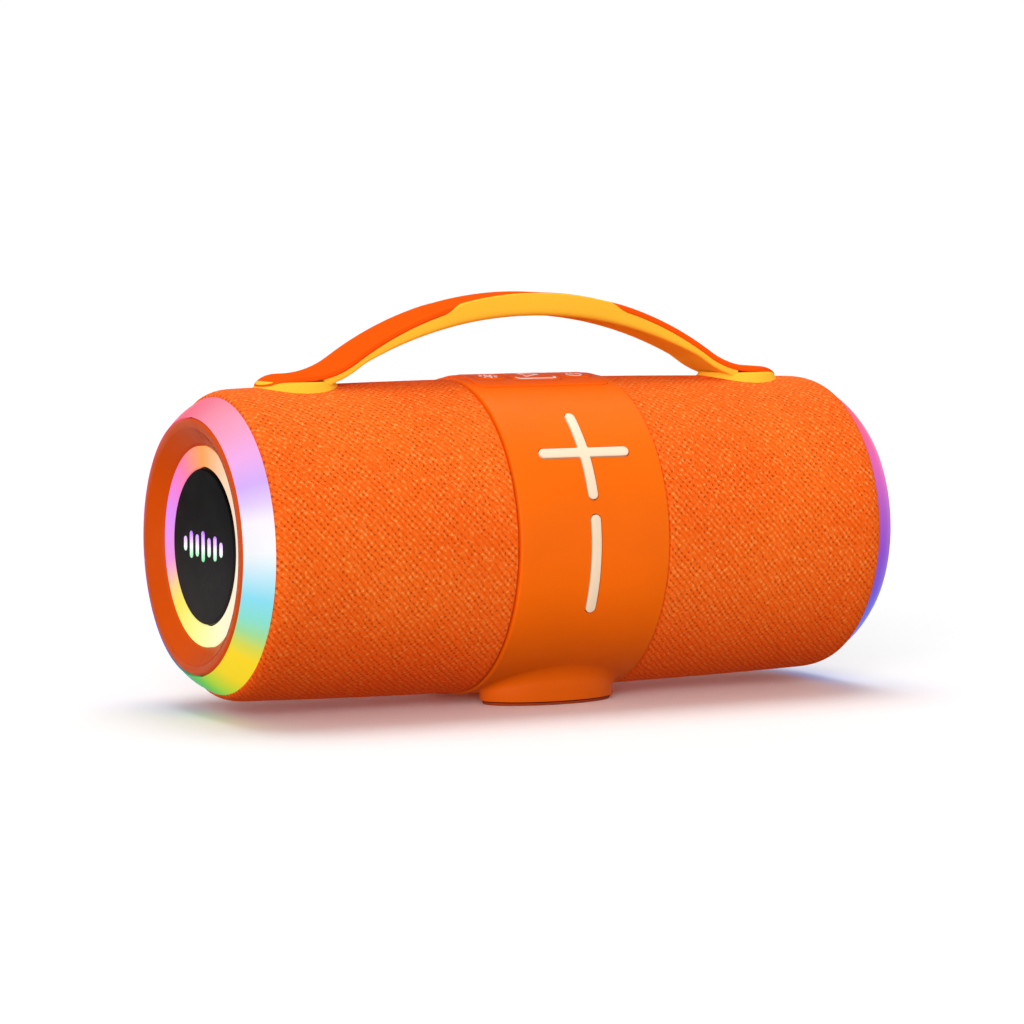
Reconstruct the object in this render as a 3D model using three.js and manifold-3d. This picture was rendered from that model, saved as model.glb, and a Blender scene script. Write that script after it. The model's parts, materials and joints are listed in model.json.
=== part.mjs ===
// A portable wireless speaker: a fabric-covered barrel lying along X on two feet, with a silicone centre
// band that carries the keys, a light ring and a passive radiator at each end, and an arched handle.
//
// Units are millimetres and +Z is up. The origin is on the surface that the feet stand on, under the middle
// of the barrel, and the front, with the volume keys, faces -Y. Inside the barrel group the origin is the
// barrel's centre, and a turned outline is a list of [distance along the axis, distance from the axis].

import * as THREE from "three";
import { mergeVertices } from "three/addons/utils/BufferGeometryUtils.js";
import Module from "manifold-3d";

const wasm = await Module();
wasm.setup();

// ---------------------------------------------------------------- driving dimensions

const GAP = 0.35; // clearance left between pieces that touch
const AXIS_HEIGHT = 54.5; // barrel axis above the ground

const FABRIC_RADIUS = 52; // at the middle of the barrel
const FABRIC_CROWN = 1.8; // how much slimmer the barrel is at its ends
const FABRIC_END = 110.6; // where the fabric stops and the light ring starts
const FABRIC_END_RADIUS = 48;
const SHOULDER_START = 104; // where the fabric starts to round over

const BAND_HALF = 27.25; // half the width of the centre band
const BAND_RADIUS = 52.6;
const BAND_INNER = 49.4;

const SHELL_RADIUS = 49;
const SHELL_INNER = 46.8;
const SHELL_HALF = 106;

const LIP_PLANE = 119.5; // the outermost plane of each end
const LIP_RADIUS = 41.4;
const FUNNEL_RADIUS = 32.8; // the bezel's bore
const CAP_RADIUS = 25.2; // the black radiator cap
const CAP_FACE = 115.2;

const KEY_PROUD = 0.4; // how far a volume key stands above the band
const KEY_INNER = 50.3; // the underside of every key cap
const STROKE = 3.4; // stroke width of the volume symbols
const PLUS_ANGLE = 34; // degrees above the front horizontal
const MINUS_ANGLE = -7.2;
const PLUS_HALF = 16.4;
const VOLUME_SEAT = 40.2; // the volume boards' distance from the barrel axis

const PANEL = { halfX: 24.5, halfY: 17.5, radius: 53.2 };
const SIDE_KEY_X = 16; // the light and power keys' distance from the play key

const PORT_Z = -8; // centre of the port bay, below the barrel axis
const PORT = { halfX: 19, halfZ: 6.5 };

const BOARD_THICK = 1.4;
const TOP_SEAT = 42; // underside of the top switch board
const TOP_BOARD_HOLD = 25.5; // the bosses that hold a board, either side of its middle
const VOLUME_BOARD_HOLD = 21.5;
const MAIN_BOARD = { front: 33.6, back: 35.2, low: -20, high: 28 };

const DRIVER_X = 62;
const FOOT = { y: 17.6, halfX: 24, halfY: 12.4, pad: 1.2 };

const HANDLE = { halfWidth: 11, top: 80.5, topArc: 118, under: 72.8, underArc: 140, fillet: 30 };
const HANDLE_REST = 54.6; // top of the flat tongue at each end of the handle
const HANDLE_TIP = 96.2;
const HANDLE_GRIP = 29; // half the length of the thick middle grip
const STRAP = { thick: 2, crownThick: 1.5, crownHalfWidth: 9.4 }; // the orange layer
const PAD = { x: 82.6, halfX: 13, halfY: 13 };
const POST_OFFSET = 6; // handle posts either side of the pad's middle
const POST_LOW = 44.95;
const POST_HIGH = 51.8;

const ROUND = 32; // sides of the large round pieces
const MEDIUM = 20;
const SMALL = 12;

// ---------------------------------------------------------------- materials

const finish = (color, roughness, metalness = 0) =>
  new THREE.MeshStandardMaterial({ color, roughness, metalness });
const fabric = finish(0xf2651c, 0.95);
const silicone = finish(0xf4741a, 0.55);
const panelSilicone = finish(0xe8603a, 0.5);
const bezelOrange = finish(0xcf4a10, 0.4);
const symbolCream = finish(0xfbeedd, 0.5);
const handleOrange = finish(0xfb5a20, 0.5);
const handleYellow = finish(0xfdb827, 0.45);
const diffuser = finish(0xf6e9ff, 0.3);
const blackGloss = finish(0x0d0d0f, 0.25);
const blackPlastic = finish(0x26262a, 0.6);
const blackRubber = finish(0x1b1b1d, 0.85);
const darkFoot = finish(0x8a3208, 0.8);
const steel = finish(0xb9bcc0, 0.35, 1);
const boardGreen = finish(0x1f6b3a, 0.6);
const cellBlue = finish(0x2f6fb3, 0.4);
const wireRed = finish(0xb3261e, 0.5);

// ---------------------------------------------------------------- shape helpers

const radians = THREE.MathUtils.degToRad;

/** A closed geometry as a manifold-3d solid. */
function solid(geometry) {
  const bare = geometry.index ? geometry.toNonIndexed() : geometry.clone();
  bare.deleteAttribute("normal");
  bare.deleteAttribute("uv");
  const merged = mergeVertices(bare, 1e-4);
  return new wasm.Manifold(
    new wasm.Mesh({
      numProp: 3,
      vertProperties: merged.attributes.position.array,
      triVerts: new Uint32Array(merged.index.array),
    }),
  );
}

/** A manifold-3d solid as a geometry that three.js can draw. */
function drawn(manifold) {
  const made = manifold.getMesh();
  const geometry = new THREE.BufferGeometry();
  geometry.setAttribute("position", new THREE.BufferAttribute(made.vertProperties, 3));
  geometry.setIndex(new THREE.BufferAttribute(made.triVerts, 1));
  const flat = geometry.toNonIndexed();
  flat.computeVertexNormals();
  return flat;
}

const cut = (geometry, ...tools) =>
  drawn(tools.reduce((left, tool) => left.subtract(solid(tool)), solid(geometry)));
const join = (...pieces) => drawn(pieces.map(solid).reduce((whole, piece) => whole.add(piece)));
const common = (a, b) => drawn(solid(a).intersect(solid(b)));

/** Twice the signed area of a closed outline. */
function turning(outline) {
  return outline.reduce((sum, [x0, y0], i) => {
    const [x1, y1] = outline[(i + 1) % outline.length];
    return sum + x0 * y1 - x1 * y0;
  }, 0);
}

/** A ring, or a disc where the outline touches the axis, turned about Y from [along, radius] points. */
function turned(outline, sides = ROUND) {
  const ordered = turning(outline) > 0 ? [...outline].reverse() : [...outline];
  const points = [...ordered, ordered[0]].map(([along, radius]) => new THREE.Vector2(radius, along));
  return new THREE.LatheGeometry(points, sides);
}

/** The same turned about X, with the outline's first number along +X. */
const barrelTurned = (outline, sides = ROUND) => turned(outline, sides).rotateZ(-Math.PI / 2);

/** Evenly spaced numbers from one to another. */
const steps = (from, to, count) =>
  Array.from({ length: count + 1 }, (_, i) => from + ((to - from) * i) / count);

const block = (x, y, z) => new THREE.BoxGeometry(x, y, z);
const blockBetween = ([x0, y0, z0], [x1, y1, z1]) =>
  block(x1 - x0, y1 - y0, z1 - z0).translate((x0 + x1) / 2, (y0 + y1) / 2, (z0 + z1) / 2);

/** A rod along Z. */
const rod = (radius, length, sides = SMALL) =>
  new THREE.CylinderGeometry(radius, radius, length, sides).rotateX(Math.PI / 2);

/** An upright prism of an oval, from one height to another. */
const ovalPrism = (halfX, halfY, low, high, sides = MEDIUM) =>
  rod(1, high - low, sides).scale(halfX, halfY, 1).translate(0, 0, (low + high) / 2);

/** A bar with round ends in the XY plane, from z = 0 to the given depth. */
function capsule(length, width, depth) {
  const radius = width / 2;
  const straight = length / 2 - radius;
  const shape = new THREE.Shape();
  shape.absarc(straight, 0, radius, -Math.PI / 2, Math.PI / 2);
  shape.absarc(-straight, 0, radius, Math.PI / 2, (3 * Math.PI) / 2);
  return new THREE.ExtrudeGeometry(shape, { depth, bevelEnabled: false, curveSegments: 5 });
}

/** Turns a shape built with +Z as its outward way to face the front at an angle above horizontal. */
const facingFront = (geometry, degrees) => geometry.rotateX(radians(90 - degrees));

/** The tube between two radii of the barrel, as wide as the band. */
const bandTube = (inner, outer, half = BAND_HALF) =>
  barrelTurned([[-half, inner], [half, inner], [half, outer], [-half, outer]]);

const barrel = new THREE.Group();
barrel.name = "barrel";
barrel.position.z = AXIS_HEIGHT;

/** Adds one named piece to a group. */
function piece(name, geometry, material, parent = barrel) {
  const mesh = new THREE.Mesh(geometry, material);
  mesh.name = name;
  parent.add(mesh);
  return mesh;
}

/** One name and one side for each end of the barrel. */
const SIDES = [
  ["left", -1],
  ["right", 1],
];

/** A group that holds the right-hand pieces as drawn, or mirrors them for the left. */
function sideGroup(side) {
  const group = new THREE.Group();
  group.scale.x = side;
  barrel.add(group);
  return group;
}

// ---------------------------------------------------------------- barrel skin

/** Outer radius of the fabric at a distance along the barrel. */
function fabricRadius(along) {
  const crowned = FABRIC_RADIUS - FABRIC_CROWN * (along / FABRIC_END) ** 2;
  const share = Math.max(0, (along - SHOULDER_START) / (FABRIC_END - SHOULDER_START));
  const drop = FABRIC_RADIUS - FABRIC_CROWN - FABRIC_END_RADIUS;
  return crowned - drop * (1 - Math.sqrt(1 - Math.min(1, share) ** 2));
}

/** The fabric's outer face from the band to the light ring, moved out by an offset. */
function fabricFace(offset = 0) {
  const stations = [BAND_HALF + GAP, 70, SHOULDER_START, 108, 110, FABRIC_END];
  return stations.map((along) => [along, fabricRadius(along) + offset]);
}

/** A solid of revolution that fills the barrel out to a little above its fabric. */
function barrelFilled(offset) {
  const face = fabricFace(offset);
  return barrelTurned([[0, 0], [0, FABRIC_RADIUS + offset], ...face, [FABRIC_END, 0]]);
}

const postHoles = [-POST_OFFSET, POST_OFFSET].map((shift) =>
  rod(3.4, 16).translate(PAD.x + shift, 0, SHELL_RADIUS),
);

function fabricSleeve() {
  const inside = SHELL_RADIUS + GAP;
  const outline = [
    [BAND_HALF + GAP, inside],
    ...fabricFace(),
    [FABRIC_END, FABRIC_END_RADIUS - 1.6],
    [SHOULDER_START + 2.4, inside],
  ];
  return cut(barrelTurned(outline), ...postHoles);
}

/** A window through the band and shell for a piece that faces the front at an angle. */
const frontWindow = (halfX, halfY, degrees) =>
  facingFront(block(2 * halfX, 2 * halfY, 16).translate(0, 0, BAND_RADIUS - 4), degrees);

const driverMouths = SIDES.map(([, side]) =>
  new THREE.CylinderGeometry(23, 23, 30, MEDIUM).translate(side * DRIVER_X, -48, 0),
);

/** Half of the hard shell under the fabric: facing is -1 for the front half and 1 for the rear half. */
function halfShell(facing) {
  const tube = barrelTurned([
    [-SHELL_HALF, SHELL_INNER],
    [SHELL_HALF, SHELL_INNER],
    [SHELL_HALF, SHELL_RADIUS],
    [-SHELL_HALF, SHELL_RADIUS],
  ]);
  const room = 60;
  const keptHalf = blockBetween([-120, 0, -room], [120, room, room]).translate(0, GAP / 2, 0);
  if (facing < 0) keptHalf.rotateZ(Math.PI);
  const topWindow = block(46, 28, 16).translate(0, 0, SHELL_RADIUS);
  const mirroredHoles = postHoles.map((hole) => hole.clone().rotateZ(Math.PI));
  const windows =
    facing < 0
      ? [...driverMouths, frontWindow(18.5, 18.5, PLUS_ANGLE), frontWindow(4, 18.5, MINUS_ANGLE)]
      : [portPrism(GAP)];
  const opened = cut(common(tube, keptHalf), topWindow, ...postHoles, ...mirroredHoles, ...windows);
  const topBosses = [-1, 1].map((way) =>
    boss(TOP_SEAT + BOARD_THICK).translate(way * TOP_BOARD_HOLD, facing * 6, 0),
  );
  return join(opened, ...topBosses, ...(facing < 0 ? volumeBosses() : mainBoardBosses()));
}

/** A round boss inside the shell, from just above a board to the shell, built along +Z. */
function boss(boardFace) {
  const low = boardFace + GAP;
  const high = SHELL_INNER + 0.6;
  return rod(2, high - low, 8).translate(0, 0, (low + high) / 2);
}

const volumeBosses = () =>
  [PLUS_ANGLE, MINUS_ANGLE].flatMap((degrees) =>
    [-1, 1].map((way) =>
      facingFront(boss(VOLUME_SEAT + BOARD_THICK).translate(way * VOLUME_BOARD_HOLD, 0, 0), degrees),
    ),
  );

const mainBoardBosses = () =>
  [-1, 1].flatMap((way) =>
    [MAIN_BOARD.low + 4, 8].map((z) => {
      const start = MAIN_BOARD.back + GAP;
      const end = Math.sqrt((SHELL_INNER + 1) ** 2 - z ** 2);
      return rod(2, end - start, 8).rotateX(Math.PI / 2).translate(way * 31, (start + end) / 2, z);
    }),
  );

// ---------------------------------------------------------------- volume keys

/** The plus symbol as an upright prism, grown on every side by a margin. */
function plusPrism(low, high, margin = 0) {
  const bar = () => capsule(2 * (PLUS_HALF + margin), STROKE + 2 * margin, high - low);
  return join(bar(), bar().rotateZ(Math.PI / 2)).translate(0, 0, low);
}

/** The minus symbol, which runs round the barrel, as an upright prism. */
const minusPrism = (low, high, margin = 0) => {
  const bar = capsule(2 * (PLUS_HALF + margin), STROKE + 2 * margin, high - low);
  return bar.rotateZ(Math.PI / 2).translate(0, 0, low);
};

/** A volume key: its symbol follows the band's curve, and a post under it reaches the switch. */
function volumeKey(prism, degrees) {
  const face = bandTube(KEY_INNER, BAND_RADIUS + KEY_PROUD);
  const cap = common(facingFront(prism(40, 60), degrees), face);
  const post = facingFront(rod(1.4, 5.6).translate(0, 0, 47.9), degrees);
  return join(cap, post);
}

/** A small board with one push switch, under a key whose middle is on +Z. */
function switchBoard(halfX, halfY, switchXs, seat) {
  const board = blockBetween([-halfX, -halfY, seat], [halfX, halfY, seat + BOARD_THICK]);
  const switches = switchXs.flatMap((x) => [
    block(5, 5, 1.8).translate(x, 0, seat + 2.2),
    rod(1.3, 1.2).translate(x, 0, seat + 3.3),
  ]);
  return join(board, ...switches);
}

// ---------------------------------------------------------------- centre band with its feet

/** A foot's body, flared where it runs into the band. */
function footBoss(facing) {
  const floor = -AXIS_HEIGHT + FOOT.pad + GAP;
  const flare = [
    [floor, 0],
    [floor, 0.97],
    [floor + 1, 1],
    [-46.5, 1.01],
    [-43.2, 1.06],
    [-40.4, 1.18],
    [-37.8, 1.42],
    [-37.8, 0],
  ];
  const boss = turned(flare, MEDIUM).rotateX(Math.PI / 2).scale(FOOT.halfX, FOOT.halfY, 1);
  const kept = block(2 * (BAND_HALF - 0.6), 200, 200);
  return common(boss.translate(0, facing * FOOT.y, 0), kept);
}

const panelPrism = (margin) =>
  block(2 * (PANEL.halfX + margin), 2 * (PANEL.halfY + margin), 30).translate(0, 0, BAND_RADIUS);

const portPrism = (margin) =>
  blockBetween(
    [-PORT.halfX - margin, 30, PORT_Z - PORT.halfZ - margin],
    [PORT.halfX + margin, 70, PORT_Z + PORT.halfZ + margin],
  );

function centreBand() {
  const edge = 0.8;
  const ring = barrelTurned([
    [-BAND_HALF, BAND_INNER],
    [BAND_HALF, BAND_INNER],
    [BAND_HALF, BAND_RADIUS - edge],
    [BAND_HALF - edge, BAND_RADIUS],
    [-BAND_HALF + edge, BAND_RADIUS],
    [-BAND_HALF, BAND_RADIUS - edge],
  ]);
  const inside = barrelTurned([[-40, 0], [40, 0], [40, BAND_INNER], [-40, BAND_INNER]]);
  return cut(
    join(ring, footBoss(-1), footBoss(1)),
    inside,
    facingFront(plusPrism(30, 70, GAP), PLUS_ANGLE),
    facingFront(minusPrism(30, 70, GAP), MINUS_ANGLE),
    panelPrism(GAP),
    portPrism(GAP),
  );
}

const footPad = () => ovalPrism(FOOT.halfX - 1.2, FOOT.halfY - 1.2, -AXIS_HEIGHT, -AXIS_HEIGHT + FOOT.pad);

// ---------------------------------------------------------------- top panel and its keys

const TOP_KEYS = [
  { name: "light_key", x: -SIDE_KEY_X, halfX: 5.6, halfY: 10 },
  { name: "play_key", x: 0, halfX: 8.9, halfY: 12.6 },
  { name: "power_key", x: SIDE_KEY_X, halfX: 5.6, halfY: 10 },
];
const TOP_POST_END = 46.9;

/** The outline of a top key as an upright prism with clipped corners. */
function topKeyPrism({ x, halfX, halfY }, margin = 0) {
  const [a, b, corner] = [halfX + margin, halfY + margin, 2.4];
  const shape = new THREE.Shape();
  shape.absarc(a - corner, b - corner, corner, 0, Math.PI / 2);
  shape.absarc(-a + corner, b - corner, corner, Math.PI / 2, Math.PI);
  shape.absarc(-a + corner, -b + corner, corner, Math.PI, (3 * Math.PI) / 2);
  shape.absarc(a - corner, -b + corner, corner, (3 * Math.PI) / 2, 2 * Math.PI);
  const options = { depth: 24, bevelEnabled: false, curveSegments: 3 };
  return new THREE.ExtrudeGeometry(shape, options).translate(x, 0, 40);
}

function topPanel() {
  const plate = common(panelPrism(0), bandTube(BAND_INNER + 0.6, PANEL.radius, 30));
  return cut(plate, ...TOP_KEYS.map((key) => topKeyPrism(key, GAP)));
}

function topKey(key) {
  const cap = common(topKeyPrism(key), bandTube(KEY_INNER, PANEL.radius + 0.2, 30));
  const length = BAND_INNER + 1.4 - TOP_POST_END;
  return join(cap, rod(1.5, length).translate(key.x, 0, TOP_POST_END + length / 2));
}

// ---------------------------------------------------------------- port bay at the back

function portPlate() {
  const plate = blockBetween(
    [-PORT.halfX, 45.2, PORT_Z - PORT.halfZ],
    [PORT.halfX, 46.4, PORT_Z + PORT.halfZ],
  );
  const usbHole = capsule(9.6, 3.8, 6).rotateX(Math.PI / 2).translate(0, 48, PORT_Z);
  const auxHole = rod(2.1, 8).rotateX(Math.PI / 2).translate(-11.5, 46, PORT_Z);
  const cardHole = block(11.6, 8, 1.5).translate(12, 46, PORT_Z);
  return cut(plate, usbHole, auxHole, cardHole);
}

/**
 * The rubber cover over the ports, with a pull tab along its lower edge. Its top edge is rounded about the
 * line that it hinges on, so that it turns without touching the band.
 */
function portCover() {
  const hingeY = 50.4;
  const round = 2.1;
  const hingeZ = PORT_Z + PORT.halfZ - round;
  const below = blockBetween([-30, 40, -30], [30, 60, hingeZ]);
  const topEdge = rod(round, 60, 24).rotateY(Math.PI / 2).translate(0, hingeY, hingeZ);
  const plate = common(portPrism(0), bandTube(BAND_INNER + 0.6, BAND_RADIUS, 25));
  const cover = common(plate, join(below, topEdge));
  const tab = common(
    blockBetween([-7, 50, PORT_Z - PORT.halfZ], [7, 60, PORT_Z - PORT.halfZ + 3]),
    bandTube(BAND_INNER + 1, BAND_RADIUS + KEY_PROUD, 25),
  );
  return join(cover, tab);
}

function usbSocket() {
  const body = capsule(8.9, 3.2, 9).rotateX(Math.PI / 2).translate(0, 44.8, PORT_Z);
  const mouth = capsule(8.3, 2.6, 7).rotateX(Math.PI / 2).translate(0, 46, PORT_Z);
  const tongue = block(6.6, 6.4, 0.7).translate(0, 41.2, PORT_Z);
  return join(cut(body, mouth), tongue);
}

function auxSocket() {
  const housing = block(6, 9, 5.4).translate(-11.5, 40.3, PORT_Z);
  const bore = rod(1.75, 9).rotateX(Math.PI / 2).translate(-11.5, 42, PORT_Z);
  return cut(housing, bore);
}

function cardSocket() {
  const housing = block(12.4, 9, 2.2).translate(12, 40.3, PORT_Z);
  const slot = block(11.2, 8, 0.9).translate(12, 41.4, PORT_Z);
  return cut(housing, slot);
}

// ---------------------------------------------------------------- each end of the barrel

/** The translucent ring between the fabric and the bezel, bowed outwards. */
function outerLightRing() {
  const [inner, outer] = [41.7, FABRIC_END_RADIUS];
  const start = FABRIC_END + GAP;
  const arc = Array.from({ length: 4 }, (_, i) => {
    const share = i / 3;
    const bow = 0.9 * Math.sin(Math.PI * share);
    const along = start + share * (LIP_PLANE - 0.2 - start);
    return [along + 0.55 * bow, outer + share * (inner - outer) + 0.8 * bow];
  });
  return barrelTurned([...arc, [117.4, inner], [start + 1.2, 45.6], [start, 45.6]]);
}

/** The orange end bezel: a rounded lip, a shallow funnel, and a collar that runs back to the end frame. */
function endBezel() {
  return barrelTurned([
    [117.2, LIP_RADIUS],
    [LIP_PLANE - 0.5, LIP_RADIUS],
    [LIP_PLANE, LIP_RADIUS - 1.4],
    [118.2, 36.6],
    [115.6, FUNNEL_RADIUS],
    [108.8, FUNNEL_RADIUS],
    [108.8, 34.4],
    [114.4, 34.4],
    [117.2, 39.4],
  ]);
}

const innerLightRing = () =>
  barrelTurned([[115.3, 32.4], [113.5, 25.9], [111.9, 25.9], [113.4, 32.4]], MEDIUM);

/** A ring board with a light-emitting chip at each clock position. */
function ledBoard() {
  const board = barrelTurned([[108.7, 35.4], [109.7, 35.4], [109.7, 45], [108.7, 45]], MEDIUM);
  const chips = Array.from({ length: 8 }, (_, i) =>
    block(0.9, 3, 3).translate(110, 0, 41).rotateX((i * Math.PI) / 4),
  );
  return join(board, ...chips);
}

/** The ring that plugs the end of the shell and carries everything at that end. */
function endFrame() {
  const front = [[102, 33.2], [SHELL_HALF + 2, 33.2], [SHELL_HALF + 2, 47.4]];
  const shoulder = [[SHELL_HALF + GAP, 47.4], [SHELL_HALF + GAP, SHELL_INNER - GAP]];
  return barrelTurned([...front, ...shoulder, [102, SHELL_INNER - GAP]]);
}

function radiatorCap() {
  const face = [[CAP_FACE, 0], [CAP_FACE, CAP_RADIUS - 0.5], [CAP_FACE - 0.5, CAP_RADIUS]];
  return barrelTurned([[112.5, 0], ...face, [112.5, CAP_RADIUS]], MEDIUM);
}

/** The weighted cone behind the cap, with its half-roll surround. */
function radiatorCone() {
  const weight = [[104.6, 20], [104.6, 0], [112.1, 0], [112.1, 20], [107.6, 24.4]];
  const rollOutside = [[108.6, 26], [108.9, 28.2], [108.2, 30.4], [106.6, 32.2]];
  const rollInside = [[105, 32.2], [106.4, 28.2], [105.2, 24.4]];
  return barrelTurned([...weight, ...rollOutside, ...rollInside], MEDIUM);
}

// ---------------------------------------------------------------- drivers, whose axis points outwards

function driverBasket() {
  const flange = [[-2, 21], [0, 21], [0, 25.2], [-2, 25.2]];
  const back = [[-18, 14.6], [-19.6, 14.6], [-19.6, 4], [-17.8, 4], [-17.8, 12.8]];
  return turned([...flange, ...back], MEDIUM);
}

const driverMagnet = () =>
  turned([[-32, 0], [-32, 16.2], [-31, 17], [-21, 17], [-20, 16.2], [-20, 0]], SMALL);

/** The cone with its dust cap, its half-roll surround and the coil former behind it. */
function driverCone() {
  const front = [[-9, 0], [-6.4, 4], [-8.4, 8], [-0.8, 18.4], [0.6, 19.4], [-0.8, 20.4]];
  const back = [[-1.8, 18.6], [-9.4, 8.8], [-14.6, 8.8], [-14.6, 8], [-10, 7.6], [-10, 0]];
  return turned([...front, ...back], MEDIUM);
}

// ---------------------------------------------------------------- power and electronics

const batteryCell = () =>
  barrelTurned([[-32.5, 0], [-32.5, 8.9], [31.3, 8.9], [31.3, 2.8], [32.5, 2.8], [32.5, 0]], 20);

function batteryTray() {
  const base = blockBetween([-36, -22, -38.5], [36, 22, -35.6]);
  const ends = [-1, 1].map((side) => block(2, 44, 14).translate(side * 35, 0, -30));
  const divider = blockBetween([-34.5, -0.8, -37], [34.5, 0.8, -27]);
  const rails = [-13, 13].map((y) => blockBetween([-36, y - 1.5, -43.6], [36, y + 1.5, -37]));
  return join(base, ...ends, divider, ...rails);
}

function mainBoard() {
  const board = blockBetween([-34, MAIN_BOARD.front, MAIN_BOARD.low], [34, MAIN_BOARD.back, 14]);
  const tower = blockBetween([-12, MAIN_BOARD.front, 10], [12, MAIN_BOARD.back, MAIN_BOARD.high]);
  const capacitors = [-26, -18, 20].map((x) => rod(3.4, 8).rotateX(Math.PI / 2).translate(x, 30, 4));
  const chips = [[0, 3, 12, 9], [14, -12, 8, 6], [-14, -13, 9, 7]].map(([x, z, w, h]) =>
    block(w, 1.8, h).translate(x, 33, z),
  );
  const coil = block(9, 5, 9).translate(27, 31.6, -11);
  return join(board, tower, ...capacitors, ...chips, coil);
}

function radioModule() {
  const back = MAIN_BOARD.front - GAP;
  const board = blockBetween([-9, back - 1, 14], [9, back, 27]);
  const can = blockBetween([-6.5, back - 3, 16], [6.5, back - 0.5, 24]);
  return join(board, can);
}

/** A two-core lead from the main board to a driver's terminals. */
function driverLead() {
  const route = new THREE.CatmullRomCurve3([
    new THREE.Vector3(32, 32.4, -4),
    new THREE.Vector3(37, 27, -7),
    new THREE.Vector3(42, 12, -20),
    new THREE.Vector3(46, -10, -22),
    new THREE.Vector3(51.3, -23, -16.5),
  ]);
  const section = new THREE.Shape().absarc(0, 0, 1.1, 0, 2 * Math.PI);
  return new THREE.ExtrudeGeometry(section, { steps: 8, extrudePath: route, curveSegments: 3 });
}

// ---------------------------------------------------------------- fasteners

/** A pan-head screw whose head stands on its own z = 0 and whose shank runs up +Z. */
function screw(shank, headRadius = 2.7, shankRadius = 1.25) {
  const head = [[-1.8, 0], [-1.8, headRadius - 0.6], [-1.2, headRadius], [0, headRadius]];
  const stem = [[0, shankRadius], [shank, shankRadius], [shank, 0]];
  const body = turned([...head, ...stem], 8).rotateX(Math.PI / 2);
  const slot = [0, Math.PI / 2].map((turn) => block(3.2, 0.7, 1.6).rotateZ(turn).translate(0, 0, -1.8));
  return cut(body, ...slot);
}

/** The plate inside the shell that the handle's screws pull against. */
function handleAnchor() {
  const plate = block(24, 13, 2.4).translate(PAD.x, 0, 43.4);
  const holes = [-1, 1].map((way) => rod(1.8, 8).translate(PAD.x + way * POST_OFFSET, 0, 43.4));
  return cut(plate, ...holes);
}

// ---------------------------------------------------------------- handle

/** Half of the handle's top line, from its crown to its flat tongue, lowered by a drop. */
function handleTopLine(drop = 0) {
  const archCentre = HANDLE.top - HANDLE.topArc;
  const filletZ = HANDLE_REST + HANDLE.fillet;
  const filletX = Math.sqrt((HANDLE.topArc + HANDLE.fillet) ** 2 - (filletZ - archCentre) ** 2);
  const meet = Math.atan2(filletX, filletZ - archCentre);
  const arch = HANDLE.topArc - drop;
  const fillet = HANDLE.fillet + drop;
  const archPoints = steps(0, meet, 8).map((turn) => [
    arch * Math.sin(turn),
    archCentre + arch * Math.cos(turn),
  ]);
  const filletPoints = steps(meet, 0, 3).slice(1).map((turn) => [
    filletX - fillet * Math.sin(turn),
    filletZ - fillet * Math.cos(turn),
  ]);
  return [...archPoints, ...filletPoints];
}

/** Half of the handle's underside, from its crown down into the barrel. */
function handleUnderLine() {
  const centre = HANDLE.under - HANDLE.underArc;
  return steps(0, 72, 7).map((x) => [x, centre + Math.sqrt(HANDLE.underArc ** 2 - x ** 2)]);
}

/** A prism across the handle from the half outline of its side view, mirrored about the crown. */
function acrossHandle(halfTop, halfUnder, halfWidth) {
  const right = [...halfTop, ...[...halfUnder].reverse()];
  const left = [...right].reverse().map(([x, z]) => [-x, z]).filter(([x]) => x < -1e-6);
  const shape = new THREE.Shape([...right, ...left].map(([x, z]) => new THREE.Vector2(x, z)));
  const options = { depth: 2 * halfWidth, bevelEnabled: false };
  return new THREE.ExtrudeGeometry(shape, options).rotateX(Math.PI / 2).translate(0, halfWidth, 0);
}

/** Everything between the handle's two faces, rounded in plan at its tips. */
function handleWhole() {
  const roundedTip = [
    [HANDLE_TIP - 3, HANDLE_REST],
    [HANDLE_TIP - 1, HANDLE_REST - 0.6],
    [HANDLE_TIP, HANDLE_REST - 2],
  ];
  const under = [...handleUnderLine(), [HANDLE_TIP, 46]];
  const side = acrossHandle([...handleTopLine(), ...roundedTip], under, HANDLE.halfWidth);
  const tipX = HANDLE_TIP - HANDLE.halfWidth;
  const middle = block(2 * tipX, 2 * HANDLE.halfWidth, 80).translate(0, 0, 60);
  const tips = [-1, 1].map((way) => rod(HANDLE.halfWidth, 80, 20).translate(way * tipX, 0, 60));
  return common(side, join(middle, ...tips));
}

/** The space of the orange layer: full width on the slopes, thinner and narrower along the grip. */
function strapSpace(margin) {
  const above = [[0, 90], [110, 90]];
  const layer = (thick, halfWidth) => {
    const lower = handleTopLine(thick + margin);
    return acrossHandle(above, [...lower, [110, HANDLE_REST - thick - margin]], halfWidth);
  };
  const gripBox = (halfX) => block(2 * halfX, 60, 60).translate(0, 0, 80);
  const slopes = cut(layer(STRAP.thick, 20), gripBox(HANDLE_GRIP - margin));
  const crown = common(layer(STRAP.crownThick, STRAP.crownHalfWidth + margin), gripBox(HANDLE_GRIP + 1));
  return join(slopes, crown);
}

const handleStrap = () => common(handleWhole(), strapSpace(0));

/** Both halves of the barrel, filled out to a little above the fabric. */
const barrelPair = (offset) => join(barrelFilled(offset), barrelFilled(offset).rotateZ(Math.PI));

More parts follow.
